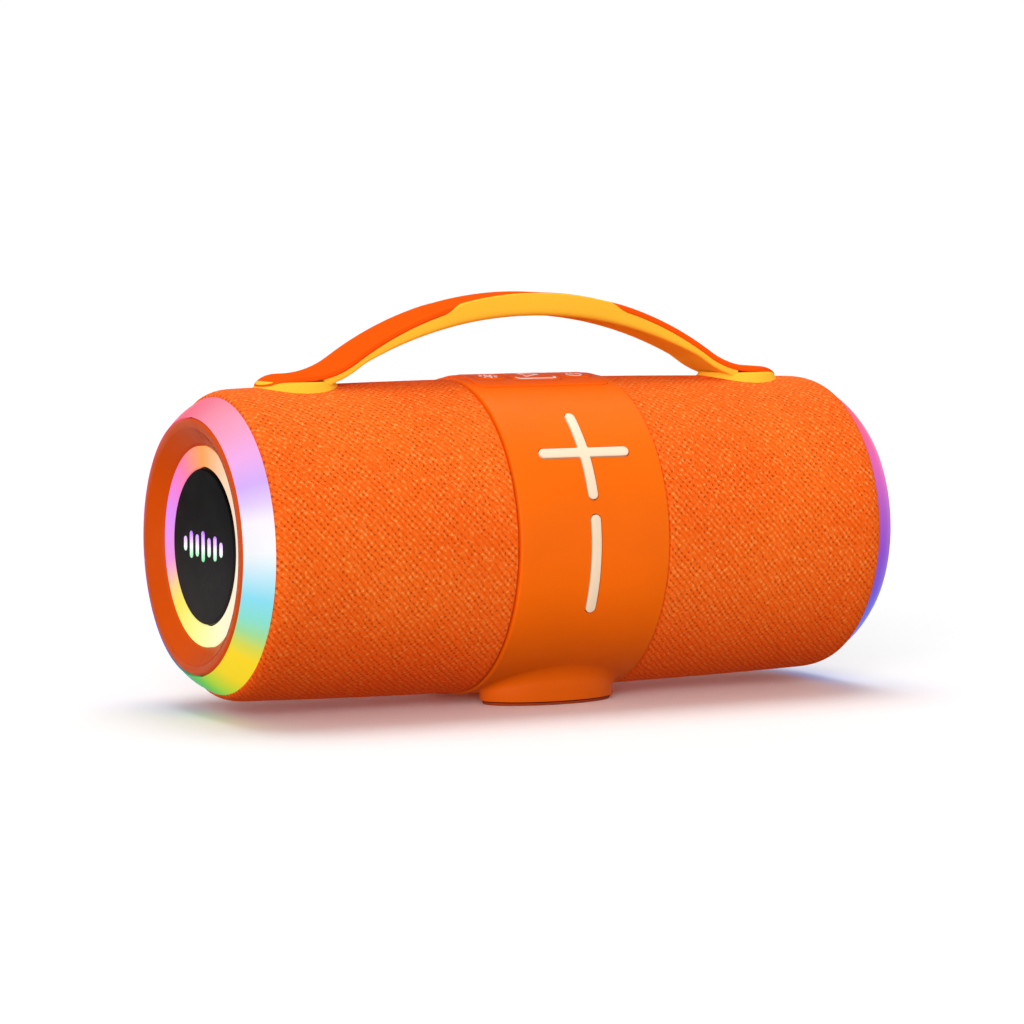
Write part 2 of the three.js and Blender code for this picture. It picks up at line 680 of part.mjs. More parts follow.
/** The yellow layer: the grip, the underside, a pad on the fabric at each end, and the pegs under them. */
function handleGrip() {
  const posts = SIDES.flatMap(([, side]) =>
    [-POST_OFFSET, POST_OFFSET].map((shift) => [side * PAD.x + shift, (POST_LOW + POST_HIGH) / 2]),
  );
  const pads = SIDES.map(([, side]) =>
    ovalPrism(PAD.halfX, PAD.halfY, 45, HANDLE_REST - STRAP.thick - GAP, 24).translate(side * PAD.x, 0, 0),
  );
  const body = cut(join(handleWhole(), ...pads), strapSpace(GAP), barrelPair(GAP));
  const pegs = posts.map(([x, z]) => rod(3, POST_HIGH - POST_LOW).translate(x, 0, z));
  const threads = posts.map(([x]) => rod(1.8, 7).translate(x, 0, POST_LOW));
  return cut(join(body, ...pegs), ...threads);
}

// ---------------------------------------------------------------- assembly

piece("front_shell", halfShell(-1), blackPlastic);
piece("rear_shell", halfShell(1), blackPlastic);
piece("centre_band", centreBand(), silicone);
piece("volume_up_key", volumeKey(plusPrism, PLUS_ANGLE), symbolCream);
piece("volume_down_key", volumeKey(minusPrism, MINUS_ANGLE), symbolCream);
piece("volume_up_board", facingFront(switchBoard(24, 11, [0], VOLUME_SEAT), PLUS_ANGLE), boardGreen);
piece("volume_down_board", facingFront(switchBoard(24, 11, [0], VOLUME_SEAT), MINUS_ANGLE), boardGreen);
piece("top_panel", topPanel(), panelSilicone);
piece("top_key_board", switchBoard(28, 10, TOP_KEYS.map((key) => key.x), TOP_SEAT), boardGreen);
for (const key of TOP_KEYS) piece(key.name, topKey(key), panelSilicone);
piece("handle_strap", handleStrap(), handleOrange);
piece("handle_grip", handleGrip(), handleYellow);

piece("port_plate", portPlate(), blackPlastic);
piece("port_cover", portCover(), silicone);
piece("usb_c_socket", usbSocket(), steel);
piece("aux_socket", auxSocket(), blackPlastic);
piece("card_socket", cardSocket(), steel);

for (const [name, facing] of [["front", -1], ["rear", 1]]) {
  piece(`${name}_foot_pad`, footPad(), darkFoot).position.y = facing * FOOT.y;
  piece(`${name}_battery_cell`, batteryCell(), cellBlue).position.set(0, facing * 11.2, -26.2);
}
piece("battery_tray", batteryTray(), blackPlastic);
piece("main_board", mainBoard(), boardGreen);
piece("radio_module", radioModule(), boardGreen);

for (const [name, side] of SIDES) {
  const end = sideGroup(side);
  piece(`${name}_fabric_sleeve`, fabricSleeve(), fabric, end);
  piece(`${name}_outer_light_ring`, outerLightRing(), diffuser, end);
  piece(`${name}_end_bezel`, endBezel(), bezelOrange, end);
  piece(`${name}_inner_light_ring`, innerLightRing(), diffuser, end);
  piece(`${name}_led_board`, ledBoard(), boardGreen, end);
  piece(`${name}_end_frame`, endFrame(), blackPlastic, end);
  piece(`${name}_radiator_cap`, radiatorCap(), blackGloss, end);
  piece(`${name}_radiator_cone`, radiatorCone(), blackRubber, end);
  piece(`${name}_handle_anchor`, handleAnchor(), steel, end);
  piece(`${name}_driver_lead`, driverLead(), wireRed, end);

  const driver = new THREE.Group();
  driver.position.set(DRIVER_X, -36.5, 0);
  driver.rotation.z = Math.PI;
  end.add(driver);
  piece(`${name}_driver_basket`, driverBasket(), steel, driver);
  piece(`${name}_driver_magnet`, driverMagnet(), steel, driver);
  piece(`${name}_driver_cone`, driverCone(), blackRubber, driver);

  for (const [place, way] of [["inner", -1], ["outer", 1]]) {
    const fastener = piece(`${name}_${place}_handle_screw`, screw(6), steel, end);
    fastener.position.set(PAD.x + way * POST_OFFSET, 0, 41.85);
  }
}

const speaker = new THREE.Group();
speaker.name = "speaker";
speaker.add(barrel);

export default speaker;
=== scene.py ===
"""Looks for the portable speaker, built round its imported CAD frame.

Lengths in the driving dimensions are millimetres, as in the CAD, and MM turns them into Blender's metres.
Angles round the barrel are degrees: 0 faces the front (-Y), 90 is the top and 180 the back.
"""

import json
import math

import bmesh
import bpy
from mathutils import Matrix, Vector


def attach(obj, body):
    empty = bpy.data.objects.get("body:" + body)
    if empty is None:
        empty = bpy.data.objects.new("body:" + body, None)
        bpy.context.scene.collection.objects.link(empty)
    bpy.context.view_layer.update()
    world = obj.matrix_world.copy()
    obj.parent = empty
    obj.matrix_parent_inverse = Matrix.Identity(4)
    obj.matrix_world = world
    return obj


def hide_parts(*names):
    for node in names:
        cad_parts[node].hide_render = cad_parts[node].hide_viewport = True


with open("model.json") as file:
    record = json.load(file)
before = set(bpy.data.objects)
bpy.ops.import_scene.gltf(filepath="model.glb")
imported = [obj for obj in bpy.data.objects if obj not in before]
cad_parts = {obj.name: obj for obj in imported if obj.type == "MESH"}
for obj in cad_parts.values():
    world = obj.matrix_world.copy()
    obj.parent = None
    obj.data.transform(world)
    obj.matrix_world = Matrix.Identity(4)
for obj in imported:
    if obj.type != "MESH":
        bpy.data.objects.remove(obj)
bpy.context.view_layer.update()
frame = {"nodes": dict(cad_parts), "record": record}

MM = 0.001

# ---------------------------------------------------------------- driving dimensions

AXIS = 54.5  # barrel axis above the floor
FABRIC_RADIUS = 52.0  # at the middle of the barrel
FABRIC_CROWN = 1.8  # how much slimmer the barrel is at its ends
FABRIC_START = 27.6  # beside the band
FABRIC_END = 110.6  # where the light ring starts
FABRIC_END_RADIUS = 48.0
SHOULDER = 104.0  # where the fabric starts to round over

BAND_HALF = 27.25
BAND_RADIUS = 52.6
BAND_INNER = 49.4

LIP_PLANE = 119.5  # the outermost plane of each end
LIP_RADIUS = 41.4
FUNNEL_RADIUS = 32.8  # the bezel's bore
CAP_RADIUS = 25.2
CAP_FACE = 115.2  # outer plane of the black cap

KEY_PROUD = 0.4  # how far a volume key stands above the band
KEY_GAP = 0.34  # room for a curved key's ends, which move sideways as it is pressed
STROKE = 3.4  # stroke width of the volume symbols
SYMBOL_HALF = 16.4
PLUS_ANGLE = 34.0
MINUS_ANGLE = -7.2

PANEL_RADIUS = 53.2  # top of the key panel
PANEL_HALF = (24.5, 17.5)
PANEL_GAP = 0.1
TOP_KEY_PROUD = 0.2  # how far a top key stands above the panel
TOP_KEY_GAP = 0.3
PORT_GAP = 0.35

FOOT_Y = 17.6
FOOT_HALF = (24.0, 12.4)
FOOT_SOLE = 1.2  # height at which the band's foot ends over its rubber pad

HANDLE_HALF = 11.0
HANDLE_TOP = 80.5  # heights of the handle are over the barrel axis
HANDLE_ARC = 118.0
HANDLE_UNDER = 72.8
UNDER_ARC = 140.0
HANDLE_FILLET = 30.0
HANDLE_REST = 54.6  # top of the flat tongue at each end
HANDLE_TIP = 96.2
STRAP_THICK = 2.0
CROWN_THIN = 0.5  # how much thinner the strap is along the grip
GRIP_END = 29.0  # half the length of the thick middle grip
PAD_X = 82.6
PAD_HALF = (13.0, 13.0)

CLOTH_THICK = 1.0  # the knit with its backing
KNIT = (2.4, 2.6)  # the knit's repeat along and round the barrel
TURN = 192  # steps round a turned piece
FINE_TURN = 256  # the same for the largest pieces
OVAL_STEPS = 96
CREASE = 40  # edges sharper than this many degrees stay sharp
SOFT_CREASE = 50


# ---------------------------------------------------------------- shaders

PAINTED_SHADE_FROM = (4, 44)  # heights between which the painted shade toward the floor fades out
GLOSS_DRIFT = 0.06  # how far a moulded surface's roughness wanders either way


def srgb(red, green, blue):
    """A colour given as 0 to 255 display values, as linear RGBA."""

    def linear(value):
        share = value / 255
        return share / 12.92 if share <= 0.04045 else ((share + 0.055) / 1.055) ** 2.4

    return (linear(red), linear(green), linear(blue), 1.0)


class Shade:
    """A Principled material under construction. Values that go through feed may be sockets instead."""

    def __init__(self, name, color, roughness, **sockets):
        self.material = bpy.data.materials.new(name)
        self.material.use_nodes = True
        self.tree = self.material.node_tree
        self.bsdf = self.tree.nodes["Principled BSDF"]
        self.set("Base Color", color)
        self.set("Roughness", roughness)
        for socket, value in sockets.items():
            self.set(socket.replace("_", " "), value)

    def set(self, name, value):
        """Sets a named input of the shader itself."""
        self.feed(self.bsdf.inputs[name], value)

    def feed(self, socket, value):
        """Links a socket to an input, or gives it a plain value."""
        if isinstance(value, bpy.types.NodeSocket):
            self.tree.links.new(value, socket)
        else:
            socket.default_value = value

    def math(self, operation, a, b=0.0, c=None):
        node = self.tree.nodes.new("ShaderNodeMath")
        node.operation = operation
        self.feed(node.inputs[0], a)
        self.feed(node.inputs[1], b)
        if c is not None:
            self.feed(node.inputs[2], c)
        return node.outputs[0]

    def position(self):
        """The object's own coordinates, which are the row frame at rest, as three sockets in metres."""
        source = self.tree.nodes.new("ShaderNodeTexCoord")
        split = self.tree.nodes.new("ShaderNodeSeparateXYZ")
        self.tree.links.new(source.outputs["Object"], split.inputs[0])
        return split.outputs

    def angle(self):
        """The angle round the barrel, in radians."""
        _, y, z = self.position()
        height = self.math("SUBTRACT", z, AXIS * MM)
        return self.math("ARCTAN2", height, self.math("MULTIPLY", y, -1.0))

    def noise(self, scale, detail=2.0):
        """Cloudy values round 0.5, fixed to the object."""
        source = self.tree.nodes.new("ShaderNodeTexCoord")
        node = self.tree.nodes.new("ShaderNodeTexNoise")
        node.inputs["Scale"].default_value = scale
        node.inputs["Detail"].default_value = detail
        self.tree.links.new(source.outputs["Object"], node.inputs["Vector"])
        return node.outputs["Fac"]

    def span(self, value, low, high, to_low=0.0, to_high=1.0, smooth=True):
        """The value carried from low..high to to_low..to_high, and held beyond them."""
        node = self.tree.nodes.new("ShaderNodeMapRange")
        node.interpolation_type = "SMOOTHSTEP" if smooth else "LINEAR"
        self.feed(node.inputs["Value"], value)
        node.inputs["From Min"].default_value = low
        node.inputs["From Max"].default_value = high
        node.inputs["To Min"].default_value = to_low
        node.inputs["To Max"].default_value = to_high
        return node.outputs["Result"]

    def mix(self, share, a, b, blend="MIX"):
        """Colour a where the share is 0, and colour b blended over it the given way where it is 1."""
        node = self.tree.nodes.new("ShaderNodeMix")
        node.data_type = "RGBA"
        node.blend_type = blend
        self.feed(node.inputs["Factor"], share)
        self.feed(node.inputs[6], a)
        self.feed(node.inputs[7], b)
        return node.outputs[2]

    def paint_floor_shade(self, color, tint):
        """The colour with painted shade: multiplied by a tint toward the floor."""
        _, _, z = self.position()
        painted_shade_share = self.span(z, PAINTED_SHADE_FROM[0] * MM, PAINTED_SHADE_FROM[1] * MM, 1.0, 0.0)
        return self.mix(painted_shade_share, color, tint, "MULTIPLY")

    def ramp(self, share, stops):
        """A colour for each share from 0 to 1, from (position, colour) stops."""
        node = self.tree.nodes.new("ShaderNodeValToRGB")
        self.feed(node.inputs[0], share)
        elements = node.color_ramp.elements
        while len(elements) > 1:
            elements.remove(elements[-1])
        elements[0].position, elements[0].color = stops[0]
        for position, color in stops[1:]:
            elements.new(position).color = color
        return node.outputs["Color"]

    def bump(self, height, distance):
        """Relief in which a height of 1 stands for the distance, in millimetres."""
        node = self.tree.nodes.new("ShaderNodeBump")
        node.inputs["Distance"].default_value = distance * MM
        node.inputs["Strength"].default_value = 1.0
        self.tree.links.new(height, node.inputs["Height"])
        self.tree.links.new(node.outputs["Normal"], self.bsdf.inputs["Normal"])


def moulded(name, color, roughness, grain, shade=0.9, gloss=0.2, painted_low_shade=None):
    """Moulded plastic or rubber: a fine grain, patchy gloss and a slight drift in its colour.

    The drift darkens the colour to the given share of it, and a tint for the low side multiplies it toward
    the floor as painted shade.
    """
    look = Shade(name, color, roughness, Specular_IOR_Level=gloss)
    drift = look.span(look.noise(35, 2), 0.3, 0.7)
    darker = tuple(channel * shade for channel in color[:3]) + (1.0,)
    shown = look.mix(drift, darker, color)
    # Painted shade: the colour is multiplied darker toward the floor.
    if painted_low_shade:
        shown = look.paint_floor_shade(shown, painted_low_shade)
    look.set("Base Color", shown)
    patches = look.noise(160, 3)
    uneven = look.span(patches, 0.25, 0.75, roughness - GLOSS_DRIFT, roughness + GLOSS_DRIFT)
    look.set("Roughness", uneven)
    look.bump(look.noise(2600, 2), grain)
    return look.material


def knit_material():
    """Warp-knitted speaker mesh: small pits in staggered rows, with yarns running slantwise between them, and
    painted highlights and shade in its colour.
    """
    look = Shade("knit_mesh", srgb(246, 98, 28), 0.85, Specular_IOR_Level=0.05)
    look.set("Sheen Weight", 0.06)
    look.set("Sheen Roughness", 0.5)
    look.set("Sheen Tint", srgb(255, 170, 110))
    turn = 2 * math.pi

    # u and v count the knit's repeats along and round the barrel, and wander a little as real rows do.
    along, _, _ = look.position()
    wander = look.math("MULTIPLY", look.math("SUBTRACT", look.noise(300, 3), 0.5), 0.8)
    u = look.math("ADD", look.math("MULTIPLY", along, 1 / (KNIT[0] * MM)), wander)
    half_wander = look.math("MULTIPLY", wander, 0.5)
    v = look.math("MULTIPLY_ADD", look.angle(), FABRIC_RADIUS / KNIT[1], half_wander)
    rise = look.math("COSINE", look.math("MULTIPLY", look.math("ADD", u, v), turn))
    fall = look.math("COSINE", look.math("MULTIPLY", look.math("SUBTRACT", u, v), turn))
    ply = look.math("COSINE", look.math("MULTIPLY", look.math("SUBTRACT", u, v), 3 * turn))

    # Pits lie where both diagonals peak, crests of yarn between them, and a bridge along one diagonal.
    lattice = look.math("ADD", rise, fall)
    pit = look.span(lattice, 0.9, 1.9)
    crest = look.span(lattice, -0.6, -1.8)
    bridge = look.span(rise, 0.2, 1.0)
    uneven = look.span(look.noise(300, 3), 0.38, 0.62)
    depth = look.math("MULTIPLY", pit, look.math("MULTIPLY_ADD", uneven, 0.85, 0.15))

    broad = look.span(look.noise(22, 2), 0.3, 0.7)
    yarn = look.mix(broad, srgb(249, 99, 20), srgb(253, 108, 25))
    # Painted highlights: light speckles on the yarn crests.
    highlight_speckle = look.span(look.noise(900, 3), 0.46, 0.66)
    crest_highlight = look.math("MULTIPLY", highlight_speckle, look.math("MULTIPLY_ADD", crest, 0.45, 0.25))
    lit = look.mix(crest_highlight, yarn, srgb(255, 174, 86))
    # Painted shade: darker along the sunken bridge and in the pits.
    bridge_shaded = look.mix(look.math("MULTIPLY", bridge, 0.3), lit, srgb(218, 64, 4))
    pit_shaded = look.mix(look.math("MULTIPLY", depth, 0.6), bridge_shaded, srgb(184, 46, 5))
    # Painted shade: the knit darkens and reddens toward the floor.
    look.set("Base Color", look.paint_floor_shade(pit_shaded, (0.94, 0.62, 0.4, 1.0)))

    height = look.math("SUBTRACT", look.math("MULTIPLY", ply, 0.1), look.math("MULTIPLY", depth, 0.7))
    height = look.math("SUBTRACT", height, look.math("MULTIPLY", bridge, 0.25))
    height = look.math("MULTIPLY_ADD", look.noise(1500, 3), 0.5, height)
    look.bump(height, 0.34)
    return look.material


def glow_material(name, stops, strength=0.9):
    """A lit diffuser whose colour changes round the barrel: stops are (degrees, display colour)."""
    look = Shade(name, srgb(250, 245, 255), 0.35, Specular_IOR_Level=0.04)
    share = look.math("MULTIPLY_ADD", look.angle(), 1 / (2 * math.pi), 0.5)
    color = look.ramp(share, [((degrees + 180) / 360, srgb(*shown)) for degrees, shown in stops])
    cloud = look.span(look.noise(28, 2), 0.3, 0.7, 0.93, 1.0)
    look.set("Base Color", look.mix(0.9, color, (0.02, 0.02, 0.02, 1.0)))
    look.set("Emission Color", look.mix(1.0, color, cloud, "MULTIPLY"))
    look.set("Emission Strength", strength)
    look.bump(look.noise(900, 2), 0.01)
    return look.material


LEFT_GLOW = [
    (-180, (214, 70, 215)), (-155, (140, 70, 230)), (-128, (40, 95, 215)), (-110, (22, 125, 165)),
    (-96, (40, 168, 105)), (-84, (105, 200, 70)), (-73, (185, 214, 46)), (-61, (250, 218, 30)),
    (-46, (255, 219, 32)), (-39, (218, 222, 80)), (-33, (165, 226, 150)), (-26, (140, 230, 212)),
    (-17, (142, 230, 250)), (-8, (200, 240, 255)), (2, (250, 251, 255)), (14, (252, 246, 255)),
    (22, (232, 206, 255)), (30, (218, 178, 255)), (43, (250, 178, 240)), (57, (252, 164, 202)),
    (73, (250, 146, 172)), (98, (244, 100, 128)), (128, (238, 60, 90)), (155, (235, 50, 150)),
    (180, (214, 70, 215)),
]
RIGHT_GLOW = [
    (-180, (60, 200, 230)), (-150, (40, 150, 240)), (-110, (40, 120, 240)), (-70, (50, 120, 242)),
    (-48, (62, 100, 226)), (-28, (100, 72, 212)), (-10, (140, 66, 206)), (8, (176, 84, 200)),
    (26, (226, 96, 186)), (44, (250, 96, 152)), (62, (246, 88, 116)), (82, (244, 96, 96)),
    (110, (250, 150, 90)), (140, (252, 210, 70)), (160, (150, 220, 120)), (180, (60, 200, 230)),
]
INNER_GLOW = [
    (-180, (236, 150, 240)), (-168, (244, 152, 226)), (-159, (255, 182, 190)), (-149, (255, 216, 140)),
    (-136, (255, 234, 92)), (-116, (255, 246, 130)), (-92, (255, 253, 165)), (-62, (255, 250, 205)),
    (-30, (255, 240, 215)), (10, (255, 225, 200)), (50, (255, 214, 180)), (72, (255, 186, 134)),
    (90, (255, 160, 76)), (108, (255, 148, 124)), (124, (255, 128, 172)), (141, (250, 128, 214)),
    (160, (228, 142, 248)), (180, (236, 150, 240)),
]


def cap_material():
    """The radiator's black cap, with a painted reflection that greys it a little toward its foot."""
    look = Shade("cap_black", srgb(16, 16, 18), 0.45, Specular_IOR_Level=0.01)
    _, _, z = look.position()
    height = look.math("SUBTRACT", z, AXIS * MM)
    # Painted reflection: the cap turns greyer toward its foot.
    low = look.span(height, -24 * MM, 18 * MM, 1.0, 0.0)
    look.set("Base Color", look.mix(low, srgb(9, 9, 9), srgb(44, 43, 43)))
    look.set("Roughness", look.span(look.noise(120, 3), 0.3, 0.7, 0.27, 0.38))
    look.bump(look.noise(3000, 2), 0.006)
    return look.material


def emblem_material():
    """The emblem's bars: violet at the top, white in the middle and green at the foot, lit from inside."""
    look = Shade("emblem_glow", srgb(240, 240, 245), 0.35)
    _, _, z = look.position()
    share = look.span(z, (AXIS - 5) * MM, (AXIS + 5) * MM, smooth=False)
    stops = [
        (0.0, srgb(90, 220, 130)),
        (0.25, srgb(170, 240, 190)),
        (0.45, srgb(245, 245, 250)),
        (0.65, srgb(215, 170, 250)),
        (1.0, srgb(170, 80, 240)),
    ]
    color = look.ramp(share, stops)
    look.set("Base Color", color)
    look.set("Emission Color", look.mix(look.span(look.noise(400), 0.4, 0.7), color, srgb(225, 215, 250)))
    look.set("Emission Strength", 0.45)
    return look.material


def board_material():
    """A circuit board: solder mask with copper tracks showing through."""
    look = Shade("circuit_board", srgb(28, 96, 52), 0.4, Coat_Weight=0.3)
    tracks = look.tree.nodes.new("ShaderNodeTexVoronoi")
    tracks.feature = "DISTANCE_TO_EDGE"
    tracks.inputs["Scale"].default_value = 240
    source = look.tree.nodes.new("ShaderNodeTexCoord")
    look.tree.links.new(source.outputs["Object"], tracks.inputs["Vector"])
    line = look.span(tracks.outputs["Distance"], 0.03, 0.07, 1.0, 0.0)
    look.set("Base Color", look.mix(line, srgb(24, 84, 46), srgb(70, 150, 80)))
    look.bump(line, 0.03)
    return look.material


def metal_material():
    """Plated steel with fine drawn scratches."""
    look = Shade("plated_steel", srgb(196, 198, 202), 0.3, Metallic=1.0)
    look.set("Roughness", look.span(look.noise(500, 4), 0.3, 0.7, 0.22, 0.42))
    look.bump(look.noise(2200, 3), 0.01)
    return look.material


KNIT_LOOK = knit_material()
# The band carries painted shade, darker and redder toward the floor.
BAND_LOOK = moulded(
    "band_silicone",
    srgb(249, 108, 2),
    0.5,
    grain=0.012,
    shade=0.95,
    gloss=0.1,
    painted_low_shade=(0.72, 0.66, 0.5, 1.0),
)
PANEL_LOOK = moulded("panel_silicone", srgb(246, 98, 6), 0.45, grain=0.012, shade=0.95, gloss=0.06)
CREAM_LOOK = moulded("cream_key", srgb(248, 226, 196), 0.45, grain=0.02, shade=0.95)
PRINT_LOOK = moulded("white_print", srgb(250, 246, 238), 0.5, grain=0.02, shade=0.96)
BEZEL_LOOK = moulded("end_bezel", srgb(210, 77, 0), 0.42, grain=0.012, shade=0.93, gloss=0.08)
STRAP_LOOK = moulded("strap_orange", srgb(247, 88, 14), 0.5, grain=0.015, shade=0.95, gloss=0.0)
GRIP_LOOK = moulded("grip_yellow", srgb(255, 196, 56), 0.45, grain=0.015, shade=0.95, gloss=0.0)
SOLE_LOOK = moulded("foot_rubber", srgb(150, 52, 10), 0.75, grain=0.05)
SHELL_LOOK = moulded("hard_plastic", srgb(34, 34, 37), 0.55, grain=0.03)
RUBBER_LOOK = moulded("black_rubber", srgb(22, 22, 24), 0.7, grain=0.04)
CELL_LOOK = moulded("cell_sleeve", srgb(46, 110, 178), 0.3, grain=0.01)
WIRE_LOOK = moulded("red_wire", srgb(180, 36, 30), 0.45, grain=0.02)
LEFT_LOOK = glow_material("left_glow", LEFT_GLOW)
RIGHT_LOOK = glow_material("right_glow", RIGHT_GLOW)
INNER_LOOK = glow_material("inner_glow", INNER_GLOW, 0.95)
CAP_LOOK = cap_material()
EMBLEM_LOOK = emblem_material()
BOARD_LOOK = board_material()
METAL_LOOK = metal_material()

# ---------------------------------------------------------------- mesh helpers


def around(along, radius, degrees):
    """A point of the barrel, in metres."""
    turn = math.radians(degrees)
    return Vector((along, -radius * math.cos(turn), AXIS + radius * math.sin(turn))) * MM


def steps(low, high, count):
    """Evenly spaced values from low to high, both included."""
    return [low + (high - low) * i / count for i in range(count + 1)]


def smooth_share(value, low, high):
    """0 up to low, 1 from high on, and a smooth rise between them."""
    share = min(1.0, max(0.0, (value - low) / (high - low)))
    return share * share * (3 - 2 * share)


def arc(centre, radius, start, end, count):
    """Points of an arc in a plane, by degrees."""
    return [
        (centre[0] + radius * math.cos(math.radians(turn)), centre[1] + radius * math.sin(math.radians(turn)))
        for turn in steps(start, end, count)
    ]


def loft(rings, close_rings=True, wrap=False):
    """A mesh through rings of points, as a bmesh. wrap joins the last ring to the first."""
    bm = bmesh.new()
    made = [[bm.verts.new(point) for point in ring] for ring in rings]
    pairs = list(zip(made, made[1:]))
    if wrap:
        pairs.append((made[-1], made[0]))
    count = len(made[0])
    for lower, upper in pairs:
        for k in range(count if close_rings else count - 1):
            m = (k + 1) % count
            bm.faces.new((lower[k], lower[m], upper[m], upper[k]))
    if not wrap:
        bm.faces.new(list(reversed(made[0])))
        bm.faces.new(made[-1])
    return bm


def finish_mesh(name, bm, look, crease=CREASE):
    """The bmesh as an object with clean outward normals, smooth except at creases."""
    bmesh.ops.remove_doubles(bm, verts=bm.verts, dist=0.0005 * MM)
    bmesh.ops.recalc_face_normals(bm, faces=bm.faces)
    mesh = bpy.data.meshes.new(name)
    bm.to_mesh(mesh)
    bm.free()
    mesh.materials.append(look)
    mesh.polygons.foreach_set("use_smooth", [True] * len(mesh.polygons))
    mesh.set_sharp_from_angle(angle=math.radians(crease))
    obj = bpy.data.objects.new(name, mesh)
    bpy.context.scene.collection.objects.link(obj)
    return obj


def place(obj, body, slot, *nodes):
    """Puts a finished piece on its CAD body, in place of CAD nodes; the slot argument is not used."""
    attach(obj, body)
    if nodes:
        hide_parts(*nodes)
    return obj


def turned(profile, side=1, closed=True, turn=TURN):
    """A turned body from (along, radius) points, on the given side of the barrel."""
    rings = []
    for i in range(turn):
        rings.append([around(side * along, radius, 360 * i / turn) for along, radius in profile])
    return loft(rings, close_rings=closed, wrap=True)


def oval(centre_x, centre_y, half_x, half_y):
    """Points of an oval, as (x, y)."""
    turns = [2 * math.pi * i / OVAL_STEPS for i in range(OVAL_STEPS)]
    return [(centre_x + half_x * math.cos(t), centre_y + half_y * math.sin(t)) for t in turns]


def rounded(corners, count):
    """A closed outline from (x, y, corner radius) with its corners rounded."""
    outline = []
    for i, (x, y, radius) in enumerate(corners):
        here = Vector((x, y))
        if radius <= 0:
            outline.append((x, y))
            continue
        before = Vector(corners[i - 1][:2])
        after = Vector(corners[(i + 1) % len(corners)][:2])
        start = here + (before - here).normalized() * radius
        end = here + (after - here).normalized() * radius
        for share in steps(0, 1, count):
            point = start * (1 - share) ** 2 + here * 2 * share * (1 - share) + end * share**2
            outline.append((point.x, point.y))
    return outline


def joined(name, objects):
    """Several objects with one look, as one object."""
    bm = bmesh.new()
    for obj in objects:
        bm.from_mesh(obj.data)
    mesh = objects[0].data.copy()
    bm.to_mesh(mesh)
    bm.free()
    whole = bpy.data.objects.new(name, mesh)
    bpy.context.scene.collection.objects.link(whole)
    for obj in objects:
        bpy.data.objects.remove(obj)
    return whole


def cut(obj, cutters):
    """Cuts each cutter's space out of obj and removes the cutters."""
    for cutter in cutters:
        modifier = obj.modifiers.new("cut", "BOOLEAN")
        modifier.operation = "DIFFERENCE"
        modifier.solver = "EXACT"
        modifier.object = cutter
    mesh = bpy.data.meshes.new_from_object(obj.evaluated_get(bpy.context.evaluated_depsgraph_get()))
    obj.modifiers.clear()
    obj.data = mesh
    for cutter in cutters:
        bpy.data.objects.remove(cutter)


# ---------------------------------------------------------------- flat outlines, wrapped round the barrel


def capsule(half_length, width):
    """A bar along the first direction with round ends. Its outline grows by a margin."""

    def outline(margin):
        radius = width / 2 + margin
        straight = half_length - width / 2
        return arc((straight, 0), radius, -90, 90, 10) + arc((-straight, 0), radius, 90, 270, 10)

    return outline


def turned_quarter(outline):
    """The outline turned by 90 degrees."""
    return lambda margin: [(-y, x) for x, y in outline(margin)]


def plus(half_length, width):
    """Four round-ended arms that meet in small fillets."""
    nook = 0.5

    def outline(margin):
        half = width / 2 + margin
        straight = half_length - width / 2
        arm = arc((straight, 0), half, -90, 90, 10)
        nook_corners = [(half + nook, half, 0), (half, half, nook), (half, half + nook, 0)]
        quarter_path = arm + rounded(nook_corners, 3)[1:-1]
        points = []
        for quarter in range(4):
            turn = math.radians(90 * quarter)
            across, up = math.cos(turn), math.sin(turn)
            points += [(x * across - y * up, x * up + y * across) for x, y in quarter_path]
        return points

    return outline


def oblong(half_x, half_y, corner):
    """A rectangle with round corners."""

    def outline(margin):
        a, b, r = half_x + margin, half_y + margin, corner + margin
        return (
            arc((a - r, b - r), r, 0, 90, 6)
            + arc((-a + r, b - r), r, 90, 180, 6)
            + arc((-a + r, -b + r), r, 180, 270, 6)
            + arc((a - r, -b + r), r, 270, 360, 6)
        )

    return outline


SLICE_REACH = 30  # no outline reaches farther than this from its middle
SLICE_SHIFT = 0.01  # keeps the slices clear of an outline's own points


def slab(outline, levels, step=1.5):
    """A flat slab through (margin, height) levels, sliced finely enough to bend."""
    rings = [[(x, y, height) for x, y in outline(margin)] for margin, height in levels]
    bm = loft(rings)
    slices = int(SLICE_REACH / step)
    for normal in ((1, 0, 0), (0, 1, 0)):
        for i in range(-slices, slices + 1):
            geometry = bm.verts[:] + bm.edges[:] + bm.faces[:]
            spot = Vector(normal) * (i * step + SLICE_SHIFT)
            bmesh.ops.bisect_plane(bm, geom=geometry, plane_co=spot, plane_no=normal, dist=1e-4)
    return bm


def wrap_round(bm, radius, degrees, along=0.0):
    """Bends a flat mesh onto the barrel: its second direction runs up the front."""
    for vert in bm.verts:
        x, y, height = vert.co
        vert.co = around(along + x, radius + height, degrees + math.degrees(y / radius))
    return bm


def key_levels(proud, depth, edge=0.3):
    """Levels of a key cap with a softly rounded top edge."""
    levels = [(0.0, -depth)]
    for t in steps(0, math.pi / 2, 4):
        levels.append((-edge * (1 - math.cos(t)), proud - edge + edge * math.sin(t)))
    return levels


# A stroke's section, in shares of its width and height.
RIDGE_SECTION = [(-0.5, 0.0), (-0.5, 0.5), (-0.36, 0.86), (0.0, 1.0), (0.36, 0.86), (0.5, 0.5), (0.5, 0.0)]


